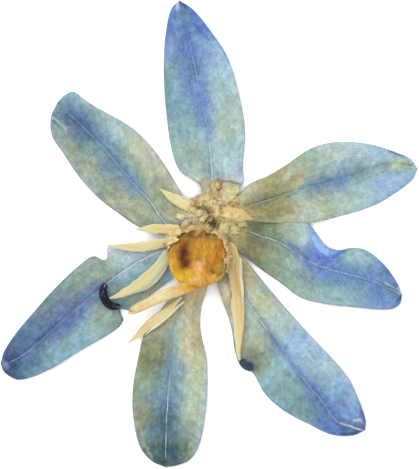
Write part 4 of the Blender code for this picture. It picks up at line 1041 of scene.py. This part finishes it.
def square_radius(x, y):
    """How far out a place is, measured by the ovary's squarish outline."""
    return (np.abs(x) ** OVARY_SQUARENESS + np.abs(y) ** OVARY_SQUARENESS) ** (1 / OVARY_SQUARENESS)


def ovary_plan(turn, out):
    """A place in plan at an angle, and so far out in shares of the ovary's half sizes."""
    return (OVARY_MIDDLE[0] + OVARY_HALF[0] * out * np.cos(turn),
            OVARY_MIDDLE[1] + OVARY_HALF[1] * out * np.sin(turn))


def ovary_top(x, y):
    """Height of the ovary's upper side over the floor, and of a steep slope that leans on its flank."""
    out = square_radius((x - OVARY_MIDDLE[0]) / OVARY_HALF[0], (y - OVARY_MIDDLE[1]) / OVARY_HALF[1])
    rise = np.clip(1.0 - out**OVARY_FLATTENED, 0.0, 1.0) ** (1 / OVARY_FLATTENED)
    slope = np.clip(1.0 - (out - 1.0) / FLANK_SLOPE, 0.0, 1.0) ** 1.5
    return np.where(out < 1.0, OVARY_MIDDLE[2] + OVARY_HALF[2] * rise, OVARY_MIDDLE[2] * slope)


def add_ovary(piece, seed):
    """A flattened egg with three soft lobes along its length, wrinkled all over."""
    down = np.linspace(OVARY_POLE, math.pi - OVARY_POLE, OVARY_RINGS)[:, None]
    angle = around(OVARY_SIDES)
    out = np.sin(down) ** (2.0 / OVARY_FLATTENED)
    x, y = out * np.cos(angle), out * np.sin(angle)
    z = np.sign(np.cos(down)) * np.abs(np.cos(down)) ** (2.0 / OVARY_FLATTENED) + 0 * angle
    stretch = np.hypot(x, y) / np.maximum(square_radius(x, y), 1e-6)
    furrow = sum(bell((x - side * FURROW_PLACE) / FURROW_WIDTH) for side in (-1, 1))
    swell = np.where(z > 0.0, (1.0 - FURROW_DEPTH * furrow * z) * OVARY_HALF[2], OVARY_UNDERSIDE)
    swell = swell + 0.07 * fractal(x * 6.0, y * 3.5 + z, seed + 6, 4)
    for lump_x, lump_y, reach, rise in OVARY_LUMPS:
        swell = swell + rise * bell((x - lump_x) / reach) * bell((y - lump_y) / reach)
    wrinkle = 0.965 + 0.02 * fractal(x * 2.2, y * 2.2 + z, seed, 2)
    points = stacked(x * stretch * OVARY_HALF[0], y * stretch * OVARY_HALF[1], z * swell)
    points = points * wrinkle[..., None] + OVARY_MIDDLE
    streaks = fractal(x * 7.0, y * 3.5, seed + 1, 4)
    blots = fractal(x * 5.0, y * 5.0, seed + 2, 4)
    paint = tinted(
        plain("amber", points), ("yellow", 0.45 * above(streaks)),
        ("olive_brown", 0.5 * above(-streaks - 0.05)), ("peach", 0.3 * above(blots - 0.25)),
        ("rust", 0.4 * above(-blots - 0.15)),
    )
    paint = stained(paint, points[..., 0], points[..., 1], OVARY_STAINS, 0.07, seed)
    paint = paint * (1.0 + 0.09 * fractal(x * 12.0, y * 9.0, seed + 3))[..., None]
    piece.add_tube(points[::-1], paint[::-1], points[::-1])


def add_style(piece, seed):
    """The style leaves the ovary and ends in a blunt stigma."""
    share, angle = np.linspace(0.0, 1.0, STYLE_RINGS)[:, None], around(TUBE_SIDES)
    line = smooth_line(STYLE_LINE, share[:, 0])
    length = line_length(line)
    width = width_along(share, STYLE_WIDTHS) * rounded((1.0 - share) * length / (STYLE_WIDTHS[2] * 0.6))
    ridges = 1.0 + 0.06 * np.cos(5.0 * angle + 2.0 * share)
    half = width / 2 * (ridges + 0.05 * fractal(angle * 1.6, share * length / 0.6, seed))
    torn = 0.3 * fractal(np.cos(angle) * 4.0, np.sin(angle), seed + 9) * ease(share, 0.8, 1.0)
    rings = tube_points(line, half, half * STYLE_FLATNESS) + line_frame(line)[0][:, None] * torn[..., None]
    skin = stained(plain("amber", rings), rings[..., 0], rings[..., 1], OVARY_STAINS, 0.07, seed - 100)
    own = fleshy_tint(share, angle, line, STYLE_PAINT, seed)
    piece.add_tube(rings, tinted(skin, (own, ease(share, 0.1, 0.4))), rings)


def make_pistil(finish, seed):
    piece = Piece("pistil_flesh")
    add_ovary(piece, seed)
    add_style(piece, seed + 100)
    piece.make(finish, "pistil")


def tissue_paint(points, relief, seed):
    """Colours of the torn tissue by place, with painted light on its folds and painted shade between them,
    mixed with random mottling.
    """
    x, y, z = np.moveaxis(points, -1, 0)
    up = 0.8 * above(z - 1.2)
    blots = patches(x, y + up, 0.35, 6500)
    paint = tinted(
        plain("peach", points), ("butter", 0.4 + 0.8 * blots), ("tan", 0.5 * above(-blots)),
        ("flesh", 0.55 * ease(-y, -0.5, 0.5) * np.abs(patches(x, y, 0.3, 6510))),
    )
    # grain is random mottling plus the folds' relief: olive_brown is painted shade between the folds, and
    # pale_straw is painted light on them.
    grain = 0.7 * patches(x + 0.4 * up, y + up, 0.16, seed) + relief
    return tinted(centre_paint(paint, x, y), ("olive_brown", 0.7 * above(-grain - 0.2)),
                  ("pale_straw", 0.9 * above(grain - 0.05)))


def rest_height(x, y):
    """Height of what the torn tissue lies on: the claws, or the ovary's flank."""
    return np.maximum(claw_lift(x, y) + SHEET_SEAT + SHEET_THICK[0] / 2, ovary_top(x, y))


def add_draped(piece, x, y, rim, pleats, fade, seed):
    """A wrinkled sheet over a grid in plan. Where rim is 1 it comes down, and fades to the claws' colour."""
    folds, wrinkles = patches(x, y, 0.5, seed, 2), patches(x, y, 0.17, seed + 1)
    inner = 1.0 - ease(rim, 0.75, 1.0)
    height = rest_height(x, y) + (DRAPE_RISE + 0.05) * inner - 0.05
    for reach, top, *line in HEAP_RIDGES:
        near = np.exp(-((line_distance(x, y, pairs(line)) / reach) ** 4))
        height = height + above(top - height) * near * inner
    for hole_x, hole_y, reach_x, reach_y, depth in HEAP_HOLES:
        height = height - depth * bell((x - hole_x) / reach_x) * bell((y - hole_y) / reach_y)
    height = height + (0.05 * folds + 0.035 * wrinkles + 0.045 * pleats) * (0.3 + 0.7 * inner)
    points = stacked(x, y, np.minimum(height, TISSUE_TOP))
    tint = tissue_paint(points, 0.35 * folds + 0.45 * pleats + 0.4 * wrinkles, seed + 3)
    tint = tinted(tint, ("sand", fade * ease(rim, 0.7, 1.0) * ease(y, 0.4, 1.0)))
    piece.add_sheet(points, MEMBRANE_THICK, tint, points)


def add_heap(piece, seed):
    """The torn sheet round the middle, pleated from its middle outwards."""
    turn = np.linspace(-math.pi, math.pi, HEAP_SPOKES)[:, None]
    cosine, sine = np.cos(turn), np.sin(turn)
    reach = np.interp(np.degrees(turn) % 360.0, *zip(*HEAP_OUTLINE), period=360.0)
    reach = reach * (1.0 + 0.07 * fractal(cosine * 6.0, sine * 6.0, seed))
    rim = np.linspace(0.02, 1.0, HEAP_HOOPS)[None, :] + 0 * turn
    away = reach * rim
    pleats = fractal(cosine * 8.0 + 0.5 * away, sine * 8.0, seed + 5) * ease(away, 0.1, 0.6)
    x, y = HEAP_MIDDLE[0] + away * cosine, HEAP_MIDDLE[1] + away * sine
    add_draped(piece, x, y, rim, pleats, 0.7, seed + 7)


def add_crust(piece, seed):
    """A crumpled ribbon along the ovary's upper rim."""
    share = np.linspace(0.0, 1.0, CRUST_STEPS)[:, None]
    turn = np.radians(np.linspace(*CRUST_ARC, CRUST_STEPS))[:, None]
    side = np.linspace(-1.0, 1.0, CRUST_COLUMNS)[None, :]
    half = CRUST_WIDTH / 2 * np.sqrt(np.clip(np.sin(math.pi * share), 0.02, 1.0))
    half = half * (1.0 + 0.5 * fractal(turn * 7.0, np.sign(side), seed))
    x, y = ovary_plan(turn, CRUST_OUT / square_radius(np.cos(turn), np.sin(turn)) + side * half)
    pleats = fractal(turn * 9.0, side * 0.7, seed + 5)
    add_draped(piece, x, y, np.abs(side) + 0 * turn, pleats, 0.0, seed + 7)


def add_membrane(piece, x, y, length, width, heading, rise, steps, curl, crumple, seed):
    """A pleated scrap with a frayed outline, draped over what it lies on."""
    v = np.linspace(-1.0, 1.0, steps)[:, None]
    u = np.linspace(-1.0, 1.0, max(8, int(steps * 0.7)))[None, :]
    round_u, round_v = u * np.sqrt(1.0 - 0.4 * v**2), v * np.sqrt(1.0 - 0.4 * u**2)
    rim = np.maximum(np.abs(u), np.abs(v))
    fray = 1.0 + 0.3 * fractal(round_u * 2.5, round_v * 2.5, seed, 4) * rim
    along, across = round_v * length * fray, round_u * width * fray
    turn = math.radians(heading)
    x = x + along * math.cos(turn) - across * math.sin(turn)
    y = y + along * math.sin(turn) + across * math.cos(turn)
    pleats, folds = fractal(across / 0.14, along / 0.7, seed + 1), patches(x, y, 0.4, seed + 2, 2)
    height = rest_height(x, y) + rise + 0.06 * (1.0 - rim**2) + crumple * (0.35 * pleats + folds)
    height = height + curl * width * (round_u**2 - 0.3) - (0.08 + 0.3 * max(0.0, rise - 0.25)) * rim**4
    points = stacked(x, y, np.minimum(height, TISSUE_TOP))
    tint = tissue_paint(points, 0.5 * pleats + 0.4 * folds, seed + 3)
    piece.add_sheet(points, MEMBRANE_THICK * (1.0 - 0.5 * rim**2), tint, points)


def add_flake(piece, x, y, dice, lengths, slims, rises, curls):
    """A small scrap, with its size, heading, height and curl drawn by lot."""
    length = dice.uniform(*lengths)
    add_membrane(piece, x, y, length, length * dice.uniform(*slims), dice.uniform(0, 180),
                 dice.uniform(*rises), FLAKE_STEPS, dice.uniform(*curls), FLAKE_CRUMPLE,
                 int(dice.integers(1e6)))


def add_fibre(piece, dice):
    """A thin hair of torn tissue."""
    turn, reach = dice.uniform(0, 2 * math.pi), dice.uniform(0.2, 1.0)
    middle = CENTRE_MIDDLE + [1.3 * reach * math.cos(turn), 1.3 * reach * math.sin(turn)]
    heading, length = dice.uniform(0, math.pi), dice.uniform(0.2, 0.5)
    bend, rise = dice.uniform(-0.2, 0.2), dice.uniform(0.12, 0.35)
    share = np.linspace(-1.0, 1.0, FIBRE_RINGS)[:, None]
    along = np.array([math.cos(heading), math.sin(heading)])
    plan = middle + length * share * along + bend * share**2 * np.array([-along[1], along[0]])
    height = rest_height(*plan.T) + rise - 0.1 * share[:, 0] ** 2
    thick = FIBRE_HALF * (1.0 - 0.7 * np.abs(share)) + np.zeros((1, FIBRE_SIDES))
    rings = tube_points(np.column_stack([plan, height]), thick, thick)
    piece.add_tube(rings, tissue_paint(rings, dice.uniform(-0.4, 0.8), 6900), rings)


def make_tissue(finish, seed):
    """The torn sheet with membranes, curled slivers, small flakes and stray fibres on it."""
    piece = Piece("torn_tissue_heap")
    add_heap(piece, seed + 900)
    add_crust(piece, seed + 950)
    for number, membrane in enumerate(MEMBRANES):
        add_membrane(piece, *membrane, MEMBRANE_STEPS, 0.0, MEMBRANE_CRUMPLE, seed + 10 * number)
    for number, sliver in enumerate(SLIVERS):
        add_membrane(piece, *sliver, SLIVER_STEPS, SLIVER_CURL, SLIVER_CRUMPLE, seed + 500 + 10 * number)
    dice = np.random.default_rng(seed)
    for x, y, half_x, half_y, count in FLAKE_FIELDS:
        for _ in range(int(count)):
            turn, reach = dice.uniform(0, 2 * math.pi), math.sqrt(dice.uniform(0, 1))
            place = x + half_x * reach * math.cos(turn), y + half_y * reach * math.sin(turn)
            add_flake(piece, *place, dice, *FLAKE_SPANS)
    for _ in range(CRUST_CRUMBS):
        turn = math.radians(dice.uniform(*CRUST_ARC))
        out = CRUST_OUT + dice.uniform(-CRUMB_STRAY, CRUMB_STRAY)
        place = ovary_plan(turn, out / square_radius(math.cos(turn), math.sin(turn)))
        add_flake(piece, *place, dice, *CRUMB_SPANS)
    for _ in range(FIBRES):
        add_fibre(piece, dice)
    piece.make(finish, "torn_tissue")


def make_receptacle(finish, seed):
    """A turned disc with the stalk's scar below and the boss that carries the ovary above."""
    steps = np.linspace(0, len(RECEPTACLE_PROFILE) - 1, RECEPTACLE_RINGS)
    angle = around(RECEPTACLE_SIDES)
    radius, height = (np.interp(steps, range(len(axis)), axis)[:, None] for axis in zip(*RECEPTACLE_PROFILE))
    rough = fractal(np.cos(angle) * 3 + height, np.sin(angle) * 3 + radius, seed)
    reach = radius * (1.0 - RECEPTACLE_ROUGH + RECEPTACLE_ROUGH * rough)
    points = stacked(CENTRE[0] + reach * np.cos(angle), CENTRE[1] + reach * np.sin(angle), height)
    piece = Piece("receptacle_disc")
    piece.add_tube(points, tinted(plain("olive", points), ("umber", 0.4 + 0.4 * rough)), points)
    piece.make(finish, "receptacle")


class Finish:
    """A material in the making, from nodes."""

    def __init__(self, name):
        self.material = bpy.data.materials.new(name)
        self.material.use_nodes = True
        self.tree = self.material.node_tree

    def plug(self, node, inputs):
        """Links or sets a node's inputs."""
        for name, value in inputs.items():
            if isinstance(value, bpy.types.NodeSocket):
                self.tree.links.new(value, node.inputs[name])
            else:
                node.inputs[name].default_value = value

    def shader(self, inputs):
        self.plug(self.tree.nodes["Principled BSDF"], inputs)
        return self.material

    def node(self, kind, inputs, output=0, **settings):
        """A new node's output, or all of them where output is None."""
        made = self.tree.nodes.new(kind)
        for name, value in settings.items():
            setattr(made, name, value)
        self.plug(made, inputs)
        return made.outputs if output is None else made.outputs[output]

    def attribute(self, name, output):
        return self.node("ShaderNodeAttribute", {}, output, attribute_name=name)

    def calc(self, operation, first, second=0.0, third=0.0):
        return self.node("ShaderNodeMath", {0: first, 1: second, 2: third}, operation=operation)

    def span(self, value, low, high, to_low, to_high):
        """A number carried from one span to another, and held there."""
        return self.node("ShaderNodeMapRange", {
            "Value": value, "From Min": low, "From Max": high, "To Min": to_low, "To Max": to_high,
        })

    def noise(self, vector, stretch, detail=3.0):
        """Noise of the vector, which is in millimetres, with features of the given sizes."""
        shares = tuple(1.0 / size for size in stretch)
        scaled = self.node("ShaderNodeVectorMath", {0: vector, 1: shares}, operation="MULTIPLY")
        return self.node("ShaderNodeTexNoise", {"Vector": scaled, "Scale": 1.0, "Detail": detail})

    def mix(self, blend, factor, first, second):
        inputs = {0: factor, 6: first, 7: second}
        return self.node("ShaderNodeMix", inputs, 2, data_type="RGBA", blend_type=blend)

    def shaded(self, colour, value):
        """The colour times a number."""
        grey = self.node("ShaderNodeCombineColor", {0: value, 1: value, 2: value})
        return self.mix("MULTIPLY", 1.0, colour, grey)

    def relief(self, strength, deep, height):
        return self.node("ShaderNodeBump", {"Strength": strength, "Distance": deep * MM, "Height": height})


def petal_material():
    """Papery tepal: fine grain, veins, and the pale line along the midrib."""
    made = Finish("petal")
    place, strength = made.attribute("place", "Vector"), made.attribute("rib", "Alpha")
    across, along, side = made.node("ShaderNodeSeparateXYZ", {0: place}, None)
    grain = made.noise(place, (0.07, 0.1, 1.0))
    veins = made.noise(made.node("ShaderNodeCombineXYZ", {0: side, 1: along}), (0.14, 2.2, 1.0), 2.0)
    colour = made.shaded(made.attribute("tint", "Color"), made.span(grain, 0.25, 0.75, 0.87, 1.13))
    colour = made.shaded(colour, made.span(veins, 0.3, 0.7, 0.94, 1.06))
    wobble = made.calc("MULTIPLY_ADD", made.noise(place, (1.0, 0.7, 1.0)), 0.12, -0.06)
    away = made.calc("ABSOLUTE", made.calc("ADD", across, wobble))
    line = made.calc("MULTIPLY", made.span(away, 0.011, 0.043, 1.0, 0.0), strength)
    beside = made.span(away, 0.07, 0.16, 0.16, 0.0)
    beside = made.calc("MULTIPLY", made.span(away, 0.03, 0.06, 0.0, 1.0), beside)
    colour = made.shaded(colour, made.calc("SUBTRACT", 1.0, made.calc("MULTIPLY", beside, strength)))
    return made.shader({
        "Base Color": made.mix("MIX", line, colour, made.attribute("rib", "Color")),
        "Roughness": made.span(grain, 0.3, 0.7, 0.55, 0.75), "Specular IOR Level": PETAL_SPECULAR,
        "Normal": made.relief(0.5, 0.02, made.calc("MULTIPLY_ADD", veins, 0.6, grain)),
    })


def flesh_material(name, sizes, roughness, deep, contrast):
    """Flesh with fibres or cells of the given sizes, drawn as colour, gloss and relief."""
    made = Finish(name)
    grain = made.noise(made.attribute("place", "Vector"), sizes)
    shade = made.span(grain, 0.3, 0.7, 1.0 - contrast, 1.0 + contrast)
    return made.shader({
        "Base Color": made.shaded(made.attribute("tint", "Color"), shade),
        "Roughness": made.span(grain, 0.3, 0.7, roughness - 0.1, roughness + 0.1),
        "Specular IOR Level": FLESH_SPECULAR, "Normal": made.relief(0.7, deep, grain),
    })


def make_stage():
    """Plain pale floor, soft light, and the camera straight above."""
    bpy.ops.mesh.primitive_plane_add(size=FLOOR_SIZE, location=(0.0, 0.0, -FLOOR_DROP * MM))
    floor = bpy.context.object
    floor.name = "floor"
    floor.data.materials.append(Finish("pale_floor").shader({
        "Base Color": (0.95, 0.95, 0.95, 1.0), "Roughness": 0.9, "Specular IOR Level": 0.1,
    }))

    scene = bpy.context.scene
    world = bpy.data.worlds.new("pale_room")
    world.use_nodes = True
    world.node_tree.nodes["Background"].inputs["Color"].default_value = (1.0, 1.0, 1.0, 1.0)
    world.node_tree.nodes["Background"].inputs["Strength"].default_value = SKY_STRENGTH
    scene.world = world

    sun = bpy.data.lights.new("soft_window", "SUN")
    sun.energy = SUN_ENERGY
    sun.angle = math.radians(60.0)
    sun_object = bpy.data.objects.new("soft_window", sun)
    sun_object.rotation_euler = (math.radians(-24.0), math.radians(-26.0), 0.0)
    scene.collection.objects.link(sun_object)

    camera = bpy.data.cameras.new("camera")
    camera.lens = CAMERA_LENS
    camera.sensor_width = 36.0
    camera.clip_start = 0.001
    camera.clip_end = 10.0
    camera_object = bpy.data.objects.new("camera", camera)
    camera_object.location = (CAMERA_PLACE[0] * MM, CAMERA_PLACE[1] * MM, CAMERA_HEIGHT * MM)
    scene.collection.objects.link(camera_object)
    scene.camera = camera_object
    scene.view_settings.view_transform = "Standard"


def main():
    make_stage()
    petal = petal_material()
    for number, (name, shape) in enumerate(TEPALS.items()):
        make_tepal(name, shape, petal, 1000 + 100 * number)
    strap = flesh_material("filament_flesh", (0.06, 0.5, 1.0), 0.55, 0.02, 0.08)
    for number, (name, parts) in enumerate(FILAMENTS.items()):
        make_filament(name, *parts, strap, 3000 + 10 * number)
    pollen = flesh_material("anther_skin", (0.05, 0.05, 0.05), 0.4, 0.03, 0.25)
    for number, (name, parts) in enumerate(ANTHERS.items()):
        make_anther(name, *parts, pollen, 4000 + 10 * number)
    make_pistil(flesh_material("pistil_skin", (0.12, 0.3, 0.2), 0.55, 0.03, 0.14), 5000)
    make_tissue(flesh_material("torn_skin", (0.08, 0.08, 0.08), 0.7, 0.02, 0.12), 6000)
    make_receptacle(flesh_material("receptacle_skin", (0.15, 0.15, 0.15), 0.7, 0.03, 0.15), 7000)


main()
